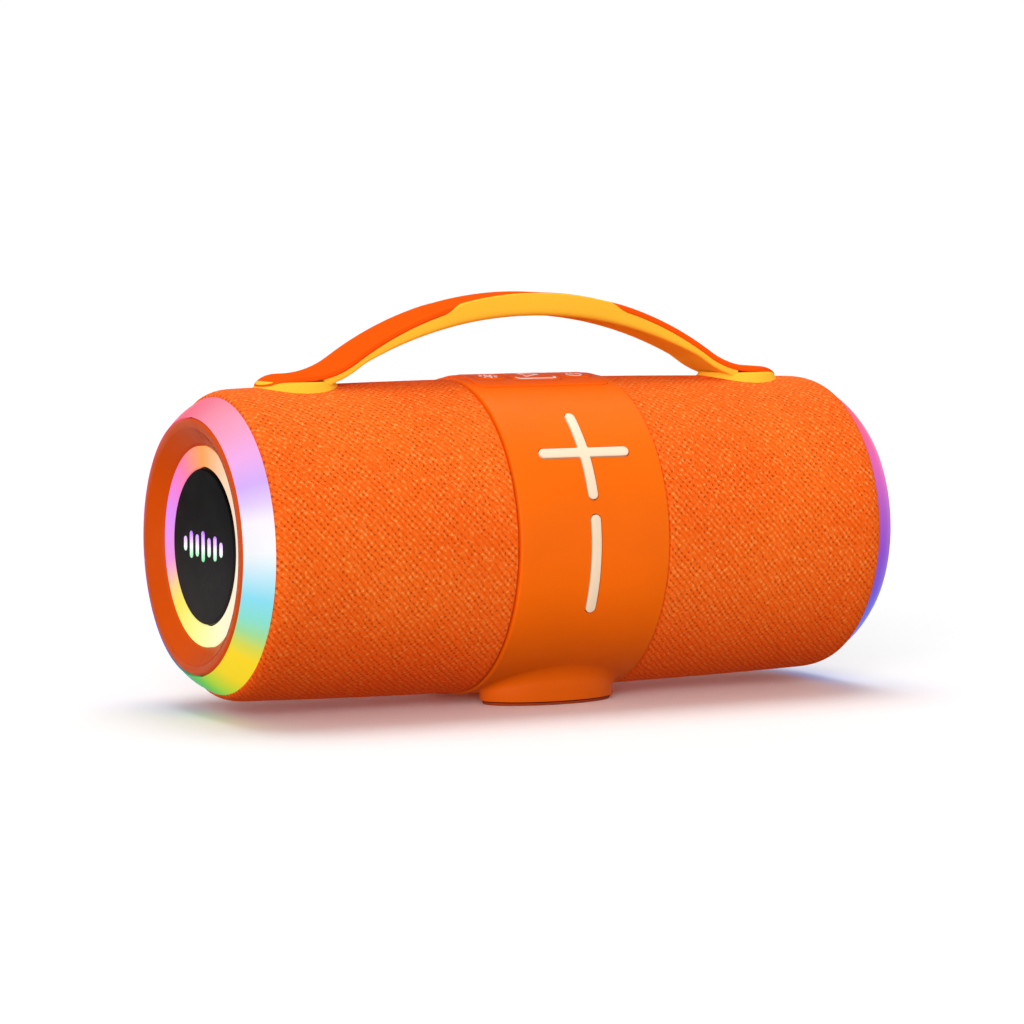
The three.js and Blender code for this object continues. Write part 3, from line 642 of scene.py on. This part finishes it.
def ridge(path, width, height, closed):
    """A low rounded stroke along a flat path."""
    rings = []
    count = len(path)
    for i, (x, y) in enumerate(path):
        ahead = path[(i + 1) % count] if closed or i + 1 < count else path[i]
        behind = path[i - 1] if closed or i > 0 else path[i]
        direction = Vector((ahead[0] - behind[0], ahead[1] - behind[1])).normalized()
        across = Vector((-direction.y, direction.x))
        ring = [(x + across.x * s * width, y + across.y * s * width, h * height) for s, h in RIDGE_SECTION]
        rings.append(ring)
    return loft(rings, wrap=closed)


# ---------------------------------------------------------------- fabric sleeves


HEM = 1.0  # radius of the fabric's rolled edge beside the band


def fabric_radius(along):
    """The fabric's radius at a distance from the middle of the barrel."""
    crowned = FABRIC_RADIUS - FABRIC_CROWN * (along / FABRIC_END) ** 2
    share = min(1.0, max(0.0, (along - SHOULDER) / (FABRIC_END - SHOULDER)))
    drop = FABRIC_RADIUS - FABRIC_CROWN - FABRIC_END_RADIUS
    return crowned - drop * (1 - math.sqrt(1 - share**2))


def sleeve_profile():
    """The fabric's section: rolled under beside the band, crowned, and rounded over at the shoulder."""
    top = fabric_radius(FABRIC_START + HEM)
    rolled = []
    for t in steps(math.pi / 2, 0, 6):
        rolled.append((FABRIC_START + HEM * (1 - math.sin(t)), top - HEM * (1 - math.cos(t))))
    body = [(along, fabric_radius(along)) for along in steps(FABRIC_START + HEM + 1.5, SHOULDER, 36)]
    turns = [SHOULDER + (FABRIC_END - SHOULDER) * math.sin(t) for t in steps(0.12, math.pi / 2, 12)]
    shoulder = [(along, fabric_radius(along)) for along in turns]
    inside = [(along, radius - CLOTH_THICK) for along, radius in reversed(body)]
    hem_corner = (FABRIC_START, top - HEM - CLOTH_THICK)
    end_corner = (FABRIC_END, FABRIC_END_RADIUS - CLOTH_THICK)
    return rolled + body + shoulder + [end_corner] + inside + [hem_corner]


# ---------------------------------------------------------------- each end of the barrel

CAP_EDGE = 0.9  # rounding of the black cap's edge
CAP_BACK = 112.5
CAP_MIDDLE = CAP_FACE - 0.08  # the cap is very slightly dished

EMBLEM_BARS = (2.4, 4.0, 3.1, 5.0, 3.6, 4.4, 2.4)  # half of each bar's height
EMBLEM_SPACING = 4.9
EMBLEM_WIDTH = 2.3
EMBLEM_LEVELS = [(0.0, -0.1), (0.0, 0.16), (-0.12, 0.26)]

INNER_RING = [(115.4, 32.4, 0.4), (114.8, 25.7, 0.3), (113.0, 25.7, 0), (113.4, 32.4, 0)]


def light_ring_profile():
    """A bowed bevel from the fabric's end to the bezel's lip."""
    inner, outer = 41.7, FABRIC_END_RADIUS - 0.05
    start, end = FABRIC_END + 0.15, LIP_PLANE - 0.35
    bow_along, bow_out = 0.3, 0.45
    face = []
    for share in steps(0, 1, 14):
        bow = math.sin(math.pi * share)
        along = start + share * (end - start) + bow_along * bow
        face.append((along, outer + share * (inner - outer) + bow_out * bow))
    return face + [(117.4, inner), (start + 1.2, 45.6), (start, 45.6)]


def bezel_profile():
    """A rounded lip, the funnel that runs in to the inner ring, and a collar behind it."""
    corners = [
        (117.2, LIP_RADIUS, 0),
        (LIP_PLANE, LIP_RADIUS, 1.3),
        (LIP_PLANE, LIP_RADIUS - 3.0, 1.2),
        (118.0, 36.4, 2.2),
        (115.7, FUNNEL_RADIUS + 0.3, 0.9),
        (115.2, FUNNEL_RADIUS, 0.2),
        (108.8, FUNNEL_RADIUS, 0),
        (108.8, 34.4, 0),
        (114.4, 34.4, 0),
        (117.2, 39.4, 0),
    ]
    return rounded(corners, 7)


def cap_profile():
    """A disc with a rounded edge and a face that is dished by less than a tenth of a millimetre."""
    edge = []
    for t in steps(0, math.pi / 2, 7):
        edge.append((CAP_FACE - CAP_EDGE * (1 - math.sin(t)), CAP_RADIUS - CAP_EDGE * (1 - math.cos(t))))
    face = [(CAP_FACE - 0.06, 16.0), (CAP_MIDDLE, 8.0), (CAP_MIDDLE, 0.0)]
    return [(CAP_BACK, 0.0), (CAP_BACK, CAP_RADIUS)] + edge + face


def emblem(name, side):
    """Seven bars of different heights, like a level meter, standing on the cap."""
    bars = []
    middle = len(EMBLEM_BARS) // 2
    for i, half_height in enumerate(EMBLEM_BARS):
        bm = slab(turned_quarter(capsule(half_height, EMBLEM_WIDTH)), EMBLEM_LEVELS, step=40)
        for vert in bm.verts:
            x, y, height = vert.co
            across = x + EMBLEM_SPACING * (i - middle)
            vert.co = Vector((side * (CAP_MIDDLE + height), across, AXIS + y)) * MM
        bars.append(finish_mesh(f"bar{i}", bm, EMBLEM_LOOK))
    return joined(name, bars)


def end_piece(name, bm, look, slot, body="speaker"):
    """A piece of one end, which takes the place of the CAD node with its name."""
    return place(finish_mesh(name + "_fine", bm, look), body, slot, name)


for side_name, side, glow in (("left", -1, LEFT_LOOK), ("right", 1, RIGHT_LOOK)):
    cloth = turned(sleeve_profile(), side, turn=FINE_TURN)
    sleeve = end_piece(f"{side_name}_fabric_sleeve", cloth, KNIT_LOOK, "knit_fabric")
    outer_ring = turned(light_ring_profile(), side)
    end_piece(f"{side_name}_outer_light_ring", outer_ring, glow, "light_diffuser")
    end_piece(f"{side_name}_end_bezel", turned(bezel_profile(), side), BEZEL_LOOK, "end_bezel")
    inner_ring = turned(rounded(INNER_RING, 4), side)
    end_piece(f"{side_name}_inner_light_ring", inner_ring, INNER_LOOK, "light_diffuser")
    cap = turned(cap_profile(), side, closed=False)
    end_piece(f"{side_name}_radiator_cap", cap, CAP_LOOK, "black_gloss", f"{side_name}_radiator")
    place(emblem(f"{side_name}_emblem", side), f"{side_name}_radiator", "cream_key")

# ---------------------------------------------------------------- centre band, feet and keys


SKIRT_STEPS = 144
SKIRT_MARGIN = 0.4  # the skirt stays this far inside the band's edges
SOLE_LEVELS = ((0.9, 0.9), (0.9, 0.35), (1.05, 0.1), (1.4, 0.0), (2.6, 0.0), (2.9, 0.35))  # (inset, height)


def band_skin(y):
    """Height of the band's underside from the barrel axis, a hair inside its surface."""
    return -math.sqrt(max(0.0, (BAND_RADIUS - 0.06) ** 2 - y * y))


def foot_skirt(facing):
    """The foot's wall, which rises from the sole and flares into the band.

    It is drawn for the foot whose outer side is at positive y, and facing turns it to its place.
    """
    wall_low = -AXIS + FOOT_SOLE
    rings = []
    for i in range(SKIRT_STEPS):
        turn = 2 * math.pi * i / SKIRT_STEPS
        cx, cy = math.cos(turn), math.sin(turn)
        outward = cy > 0
        spread_x = 2.4
        spread_y = 4.6 if outward else 1.2
        flare = math.hypot(cx * spread_x, cy * spread_y)
        wall_x, wall_y = FOOT_HALF[0] * cx, FOOT_Y + FOOT_HALF[1] * cy
        out_x = wall_x + flare * cx
        out_y = wall_y + flare * cy * (1 if outward else 0.5)
        limit = BAND_HALF - SKIRT_MARGIN
        out_x = max(-limit, min(limit, out_x))

        # The wall leaves the vertical at start_z and bends through the corner out to the band's skin.
        corner_z = band_skin(wall_y)
        fall = 0.825 if outward else 0.375
        start_z = min(corner_z - 0.4, max(wall_low + 1.0, corner_z - fall * flare))
        ring = [
            (wall_x * 0.9, wall_y - 0.1 * FOOT_HALF[1] * cy, wall_low),
            (wall_x - 0.5 * cx, wall_y - 0.5 * cy, wall_low),
            (wall_x - 0.14 * cx, wall_y - 0.14 * cy, wall_low + 0.14),
            (wall_x, wall_y, wall_low + 0.5),
        ]
        for share in steps(0, 1, 12):
            first, second, third = (1 - share) ** 2, 2 * share * (1 - share), share**2
            x = (first + second) * wall_x + third * out_x
            y = (first + second) * wall_y + third * out_y
            z = first * start_z + second * corner_z + third * band_skin(out_y)
            ring.append((x, y, z))
        rings.append([Vector((x, facing * y, AXIS + z)) * MM for x, y, z in ring])
    return loft(rings, close_rings=False, wrap=True)


def sole_pad(facing):
    """A thin rubber sole with a softened lower edge and a shallow hollow in its middle."""
    rings = []
    for inset, height in SOLE_LEVELS:
        outline = oval(0, FOOT_Y, FOOT_HALF[0] - inset, FOOT_HALF[1] - inset)
        rings.append([Vector((x, facing * y, height)) * MM for x, y in outline])
    return loft(rings)


band_profile = rounded(
    [
        (-BAND_HALF, BAND_INNER, 0),
        (-BAND_HALF, BAND_RADIUS, 0.8),
        (BAND_HALF, BAND_RADIUS, 0.8),
        (BAND_HALF, BAND_INNER, 0),
    ],
    6,
)
PLUS = plus(SYMBOL_HALF, STROKE)
MINUS = turned_quarter(capsule(SYMBOL_HALF, STROKE))
PANEL = oblong(PANEL_HALF[0], PANEL_HALF[1], 3.5)
PORT = oblong(19.0, 6.5, 0.6)
REAR_PORT_ANGLE = 188.75
TOP_KEYS = {
    "light_key": (-16.0, oblong(5.6, 10.0, 2.4)),
    "play_key": (0.0, oblong(8.9, 12.6, 2.4)),
    "power_key": (16.0, oblong(5.6, 10.0, 2.4)),
}


def key_cutter(outline, degrees, gap, along=0.0):
    """The room for a key or cover in the band or panel, with a gap all round it."""
    flat = slab(outline, [(gap, -8.0), (gap, 4.0)])
    return finish_mesh("cutter", wrap_round(flat, BAND_RADIUS, degrees, along), SHELL_LOOK)


band = finish_mesh("centre_band_fine", turned(band_profile, turn=FINE_TURN), BAND_LOOK)
cut(
    band,
    [
        key_cutter(PLUS, PLUS_ANGLE, KEY_GAP),
        key_cutter(MINUS, MINUS_ANGLE, KEY_GAP),
        key_cutter(PANEL, 90, PANEL_GAP),
        key_cutter(PORT, REAR_PORT_ANGLE, PORT_GAP),
    ],
)
skirts = [finish_mesh(f"skirt{facing}", foot_skirt(facing), BAND_LOOK) for facing in (-1, 1)]
band = joined("centre_band_fine_feet", [band] + skirts)
band.data.set_sharp_from_angle(angle=math.radians(CREASE))
place(band, "speaker", "band_silicone", "centre_band")
for foot_name, facing in (("front", -1), ("rear", 1)):
    sole = finish_mesh(f"{foot_name}_sole", sole_pad(facing), SOLE_LOOK)
    place(sole, "speaker", "foot_rubber", f"{foot_name}_foot_pad")

for name, outline, degrees in (("volume_up_key", PLUS, PLUS_ANGLE), ("volume_down_key", MINUS, MINUS_ANGLE)):
    bm = wrap_round(slab(outline, key_levels(KEY_PROUD, 2.2)), BAND_RADIUS, degrees)
    place(finish_mesh(name + "_fine", bm, CREAM_LOOK), name, "cream_key", name)

panel_bm = wrap_round(slab(PANEL, key_levels(PANEL_RADIUS - BAND_RADIUS, 2.4, 0.5)), BAND_RADIUS, 90)
panel = finish_mesh("top_panel_fine", panel_bm, PANEL_LOOK)
cut(panel, [key_cutter(outline, 90, TOP_KEY_GAP, along) for along, outline in TOP_KEYS.values()])
place(panel, "speaker", "panel_silicone", "top_panel")
for name, (along, outline) in TOP_KEYS.items():
    levels = key_levels(PANEL_RADIUS - BAND_RADIUS + TOP_KEY_PROUD, 2.0, 0.35)
    bm = wrap_round(slab(outline, levels), BAND_RADIUS, 90, along)
    place(finish_mesh(name + "_fine", bm, PANEL_LOOK), name, "panel_silicone", name)

# ---------------------------------------------------------------- key symbols


SYMBOL_SINK = 0.04  # how far a symbol's foot lies inside its key
SYMBOL_HEIGHT = 0.14


def symbol(name, key, along, strokes):
    """Raised strokes on a top key: each is (path, width, closed)."""
    face = PANEL_RADIUS + TOP_KEY_PROUD - SYMBOL_SINK
    parts = []
    for i, (path, width, closed) in enumerate(strokes):
        bm = wrap_round(ridge(path, width, SYMBOL_HEIGHT, closed), face, 90, along)
        parts.append(finish_mesh(f"{name}{i}", bm, PRINT_LOOK))
    place(joined(name, parts), key, "cream_key")


# The symbols are drawn in millimetres from the panel's middle, x to the right and y to the rear.
power_ring = arc((0, -6.6), 2.4, 125, 415, 24)
power_bar = [(0, -6.2), (0, -3.6)]
frame_path = rounded([(-7, -11.2, 1.2), (7, -11.2, 1.2), (7, 2.0, 1.2), (-7, 2.0, 1.2)], 4)
triangle = rounded([(-2.6, -8.2, 0.5), (3.4, -4.8, 0.5), (-2.6, -1.4, 0.5)], 3)
lamp_ring = arc((0, -6.4), 1.3, 0, 345, 16)
rays = []
for t in steps(0, 2 * math.pi * 7 / 8, 7):
    ray = [(r * math.cos(t), -6.4 + r * math.sin(t)) for r in (2.2, 3.3)]
    rays.append((ray, 0.6, False))
symbol("play_symbol", "play_key", 0.0, [(frame_path, 1.0, True), (triangle, 0.9, True)])
symbol("power_symbol", "power_key", 16.0, [(power_ring, 0.8, False), (power_bar, 0.8, False)])
symbol("light_symbol", "light_key", -16.0, [(lamp_ring, 0.7, True)] + rays)

# ---------------------------------------------------------------- port cover


PORT_HINGE = (50.4, -3.6)  # (y, z) from the barrel axis
PORT_KNUCKLE = 2.1  # radius of the rounded top edge
PORT_LOW = -14.5
PORT_INNER = 50.0  # radius of the flap's inner face
PORT_ENDS = ((-19, 0.5), (-18.8, 0.15), (-18.5, 0), (18.5, 0), (18.8, 0.15), (19, 0.5))  # (along, inset)


def port_section(inset):
    """The flap's section as (y, z) points: outer face, rounded top edge and inner face."""
    hinge_y, hinge_z = PORT_HINGE
    knuckle = PORT_KNUCKLE - inset
    outer = BAND_RADIUS - inset
    inner = PORT_INNER + inset
    points = [(math.sqrt(outer**2 - z * z), z) for z in steps(PORT_LOW + 0.5 + inset, hinge_z, 8)]
    for t in steps(math.radians(5), math.radians(100), 8):
        points.append((hinge_y + knuckle * math.cos(t), hinge_z + knuckle * math.sin(t)))
    points += [(math.sqrt(inner**2 - z * z), z) for z in steps(hinge_z + 1.2, PORT_LOW + inset, 8)]
    points.append((math.sqrt((outer - 0.5) ** 2 - PORT_LOW**2), PORT_LOW + inset))
    return points


def port_cover():
    """The rubber flap, with a small tab to open it by."""
    rings = []
    for along, inset in PORT_ENDS:
        rings.append([Vector((along, y, AXIS + z)) * MM for y, z in port_section(inset)])
    flap = finish_mesh("flap", loft(rings), BAND_LOOK)
    tab_angle = REAR_PORT_ANGLE + 5.0
    tab = wrap_round(slab(capsule(7.0, 2.6), key_levels(0.4, 1.0)), BAND_RADIUS - 0.1, tab_angle)
    return joined("port_cover_fine", [flap, finish_mesh("tab", tab, BAND_LOOK)])


place(port_cover(), "port_cover", "band_silicone", "port_cover")

# ---------------------------------------------------------------- handle

ARCH_CENTRE = HANDLE_TOP - HANDLE_ARC
FILLET_Z = HANDLE_REST + HANDLE_FILLET
FILLET_X = math.sqrt((HANDLE_ARC + HANDLE_FILLET) ** 2 - (FILLET_Z - ARCH_CENTRE) ** 2)
ARCH_END = HANDLE_ARC * FILLET_X / (HANDLE_ARC + HANDLE_FILLET)

TIP_DROOP = 3.4  # how far the strap's tips bend down toward the barrel
DROOP_FROM = HANDLE_TIP - 13
DROOP_TO = HANDLE_TIP + 2
DROOP_POWER = 1.6
INLAY = 1.5  # how much narrower than the grip the strap is, on each side
STRAP_EDGE = 0.75

GRIP_REACH = 77.0
GRIP_LIP_DROP = 0.15  # the grip's lip is this far below the strap's top
GRIP_LIP_EDGE = 0.55
GRIP_SEAT_EDGE = 0.2
GRIP_BELLY = 2.6  # rounding of the grip's underside

# (growth, share of the height from the fabric up to the strap), from the pad's top out to its foot
PAD_LEVELS = (
    (-3.0, 1.0),
    (-0.9, 1.0),
    (-0.35, 0.93),
    (-0.05, 0.75),
    (0.2, 0.45),
    (0.65, 0.12),
    (0.9, -0.12),
)


def top_line(x, drop=0.0):
    """Height of the handle's top over the barrel axis, or of a line that runs a drop below it."""
    x = abs(x)
    arch, fillet = HANDLE_ARC - drop, HANDLE_FILLET + drop
    if x <= arch * ARCH_END / HANDLE_ARC:
        return ARCH_CENTRE + math.sqrt(arch**2 - x**2)
    if x <= FILLET_X:
        return FILLET_Z - math.sqrt(fillet**2 - (FILLET_X - x) ** 2)
    return HANDLE_REST - drop


def under_line(x):
    """Height of the grip's underside over the barrel axis."""
    return HANDLE_UNDER - UNDER_ARC + math.sqrt(UNDER_ARC**2 - x * x)


def plan_half(x):
    """Half the handle's width at a station, rounded at its tips."""
    past = abs(x) - (HANDLE_TIP - HANDLE_HALF)
    return HANDLE_HALF if past <= 0 else math.sqrt(max(0.0, HANDLE_HALF**2 - past**2))


def soft_box(half, low, high, edge):
    """A section with rounded corners, as (y, z) points."""
    edge = min(edge, half * 0.95, (high - low) * 0.49)
    corners = [(-half, low, edge), (half, low, edge), (half, high, edge), (-half, high, edge)]
    return rounded(corners, 5)


def handle_stations(tip):
    """Places along the handle, closer together at its round tips."""
    ends = [tip - HANDLE_HALF * (1 - math.sin(t)) for t in steps(0, math.pi / 2, 14)]
    middle = steps(0, ends[0], 70)
    half = middle[:-1] + ends
    return [-x for x in reversed(half[1:])] + half


def strap_sections():
    """The orange layer: full width on the slopes and a narrower inlay along the grip."""
    rings = []
    for x in handle_stations(HANDLE_TIP - 0.02):
        crown = 1 - smooth_share(abs(x), GRIP_END - 3, GRIP_END + 4)
        half = max(0.25, plan_half(x) - INLAY * crown)
        thick = STRAP_THICK - CROWN_THIN * crown
        droop = TIP_DROOP * smooth_share(abs(x), DROOP_FROM, DROOP_TO) ** DROOP_POWER
        top = top_line(x) - droop
        low = top_line(x, thick) - droop
        section = soft_box(half, min(low, top - 0.3), top, STRAP_EDGE)
        rings.append([Vector((x, y, AXIS + z)) * MM for y, z in section])
    return loft(rings)


def grip_sections():
    """The yellow layer under the strap, whose sides rise past it along the grip."""
    rings = []
    half = HANDLE_HALF
    for x in steps(-GRIP_REACH, GRIP_REACH, 150):
        crown = 1 - smooth_share(abs(x), GRIP_END - 2, GRIP_END + 5)
        thick = STRAP_THICK - CROWN_THIN * crown
        seat = top_line(x, thick) - 0.02
        lip = seat + crown * (top_line(x) - seat - GRIP_LIP_DROP)
        low = min(under_line(x), seat - 2.2)
        inner = half - 0.35 - 1.3 * crown
        belly = min(GRIP_BELLY, (seat - low) * 0.45)

        # Where the lip is too low to round, its edges shrink and its inner edge stays a hair above the seat.
        flat = lip - seat < GRIP_SEAT_EDGE
        lip_edge = GRIP_SEAT_EDGE if flat else GRIP_LIP_EDGE
        inner_lip = lip + 0.001 if flat else lip
        corners = [
            (-half, low, belly),
            (half, low, belly),
            (half, lip, lip_edge),
            (inner, inner_lip, GRIP_SEAT_EDGE),
            (inner - 0.02, seat, 0),
            (-inner + 0.02, seat, 0),
            (-inner, inner_lip, GRIP_SEAT_EDGE),
            (-half, lip, lip_edge),
        ]
        rings.append([Vector((x, y, AXIS + z)) * MM for y, z in rounded(corners, 5)])
    return loft(rings)


def handle_pad(side):
    """The oval pad that spreads the handle's end on the fabric."""
    top = HANDLE_REST - STRAP_THICK - 0.05
    rings = []
    for grow, share in PAD_LEVELS:
        ring = []
        for x, y in oval(side * PAD_X, 0, PAD_HALF[0] + grow, PAD_HALF[1] + grow):
            skin = math.sqrt(fabric_radius(abs(x)) ** 2 - y * y)
            ring.append(Vector((x, y, AXIS + skin + share * (top - skin))) * MM)
        rings.append(ring)
    return loft(rings)


strap = finish_mesh("handle_strap_fine", strap_sections(), STRAP_LOOK, crease=SOFT_CREASE)
place(strap, "speaker", "handle_orange", "handle_strap")
grip_parts = [finish_mesh("grip", grip_sections(), GRIP_LOOK, crease=SOFT_CREASE)]
grip_parts += [finish_mesh(f"pad{side}", handle_pad(side), GRIP_LOOK, crease=SOFT_CREASE) for side in (-1, 1)]
place(joined("handle_grip_fine", grip_parts), "speaker", "handle_yellow", "handle_grip")

# ---------------------------------------------------------------- CAD nodes that stay, with better materials

CARRIED = {
    "hard_plastic": SHELL_LOOK,
    "circuit_board": BOARD_LOOK,
    "steel": METAL_LOOK,
    "black_rubber": RUBBER_LOOK,
    "cell_sleeve": CELL_LOOK,
    "red_wire": WIRE_LOOK,
}
slots = {part["node"]: part["material_slot"] for part in frame["record"]["subparts"]}
for name, node in frame["nodes"].items():
    look = CARRIED.get(slots[name])
    if look is None:
        continue
    node.data.materials.clear()
    node.data.materials.append(look)

# ---------------------------------------------------------------- camera, floor and light

CAMERA_AZIMUTH = -27.326
CAMERA_ELEVATION = 4.826
CAMERA_DISTANCE = 1.30
FLOOR_HALF = 20.0


def toward(azimuth, elevation):
    """A direction away from the speaker: azimuth 0 is its front and 90 its right, in degrees."""
    turn, rise = math.radians(azimuth), math.radians(elevation)
    return Vector((math.sin(turn) * math.cos(rise), -math.cos(turn) * math.cos(rise), math.sin(rise)))


camera_data = bpy.data.cameras.new("camera")
camera_data.lens = 136.6
camera_data.sensor_width = 36
camera_data.shift_x = -0.0098
camera_data.shift_y = 0.0203
camera_data.clip_end = 100
camera = bpy.data.objects.new("camera", camera_data)
camera_way = toward(CAMERA_AZIMUTH, CAMERA_ELEVATION)
camera.location = Vector((0, 0, AXIS * MM)) + camera_way * CAMERA_DISTANCE
camera.rotation_euler = camera_way.to_track_quat("Z", "Y").to_euler()
bpy.context.scene.collection.objects.link(camera)
bpy.context.scene.camera = camera

floor_look = Shade("floor_white", (0.95, 0.95, 0.95, 1.0), 0.7)
floor_look.set("Roughness", floor_look.span(floor_look.noise(3), 0.3, 0.7, 0.65, 0.75))
floor_mesh = bpy.data.meshes.new("floor")
floor_corners = [(FLOOR_HALF * x, FLOOR_HALF * y, 0) for x, y in ((-1, -1), (1, -1), (1, 1), (-1, 1))]
floor_mesh.from_pydata(floor_corners, [], [(0, 1, 2, 3)])
floor_mesh.materials.append(floor_look.material)
floor = bpy.data.objects.new("floor", floor_mesh)
bpy.context.scene.collection.objects.link(floor)
# Light that bounces off this wide floor would wash out the undersides, so the world lights them instead.
floor.visible_diffuse = False

WORLD_LIGHT = 1.05
WORLD_STOPS = [  # by height: -1 straight down, 0 the horizon, 1 straight up
    (-1.0, (0.24, 0.13, 0.07)),
    (-0.35, (0.28, 0.15, 0.09)),
    (-0.06, (1.0, 1.0, 1.0)),
    (0.09, (1.0, 1.0, 1.0)),
    (0.24, (0.36, 0.36, 0.36)),
    (1.0, (0.44, 0.44, 0.44)),
]


def studio_world():
    """A white studio: bright at the horizon, dimmer overhead, with a weak warm light from below."""
    world = bpy.data.worlds.new("world")
    bpy.context.scene.world = world
    world.use_nodes = True
    tree = world.node_tree
    direction = tree.nodes.new("ShaderNodeTexCoord")
    split = tree.nodes.new("ShaderNodeSeparateXYZ")
    share = tree.nodes.new("ShaderNodeMath")
    share.operation = "MULTIPLY_ADD"
    share.inputs[1].default_value = 0.5
    share.inputs[2].default_value = 0.5
    tones = tree.nodes.new("ShaderNodeValToRGB")
    elements = tones.color_ramp.elements
    elements.remove(elements[-1])
    elements[0].position = 0.0
    elements[0].color = (*WORLD_STOPS[0][1], 1.0)
    for height, tone in WORLD_STOPS[1:]:
        elements.new((height + 1) / 2).color = (*tone, 1.0)
    tree.links.new(direction.outputs["Generated"], split.inputs[0])
    tree.links.new(split.outputs["Z"], share.inputs[0])
    tree.links.new(share.outputs[0], tones.inputs[0])
    tree.links.new(tones.outputs["Color"], tree.nodes["Background"].inputs["Color"])
    tree.nodes["Background"].inputs["Strength"].default_value = WORLD_LIGHT


def sun(name, azimuth, elevation, strength, spread):
    """A large soft light at no particular distance, from an azimuth measured like the camera's."""
    data = bpy.data.lights.new(name, "SUN")
    data.energy = strength
    data.angle = math.radians(spread)
    light = bpy.data.objects.new(name, data)
    light.rotation_euler = toward(azimuth, elevation).to_track_quat("Z", "Y").to_euler()
    bpy.context.scene.collection.objects.link(light)


studio_world()
sun("overhead", 160, 76, 1.7, 42)
sun("front", -36, 15, 2.05, 40)

bpy.context.scene.view_settings.view_transform = "Standard"
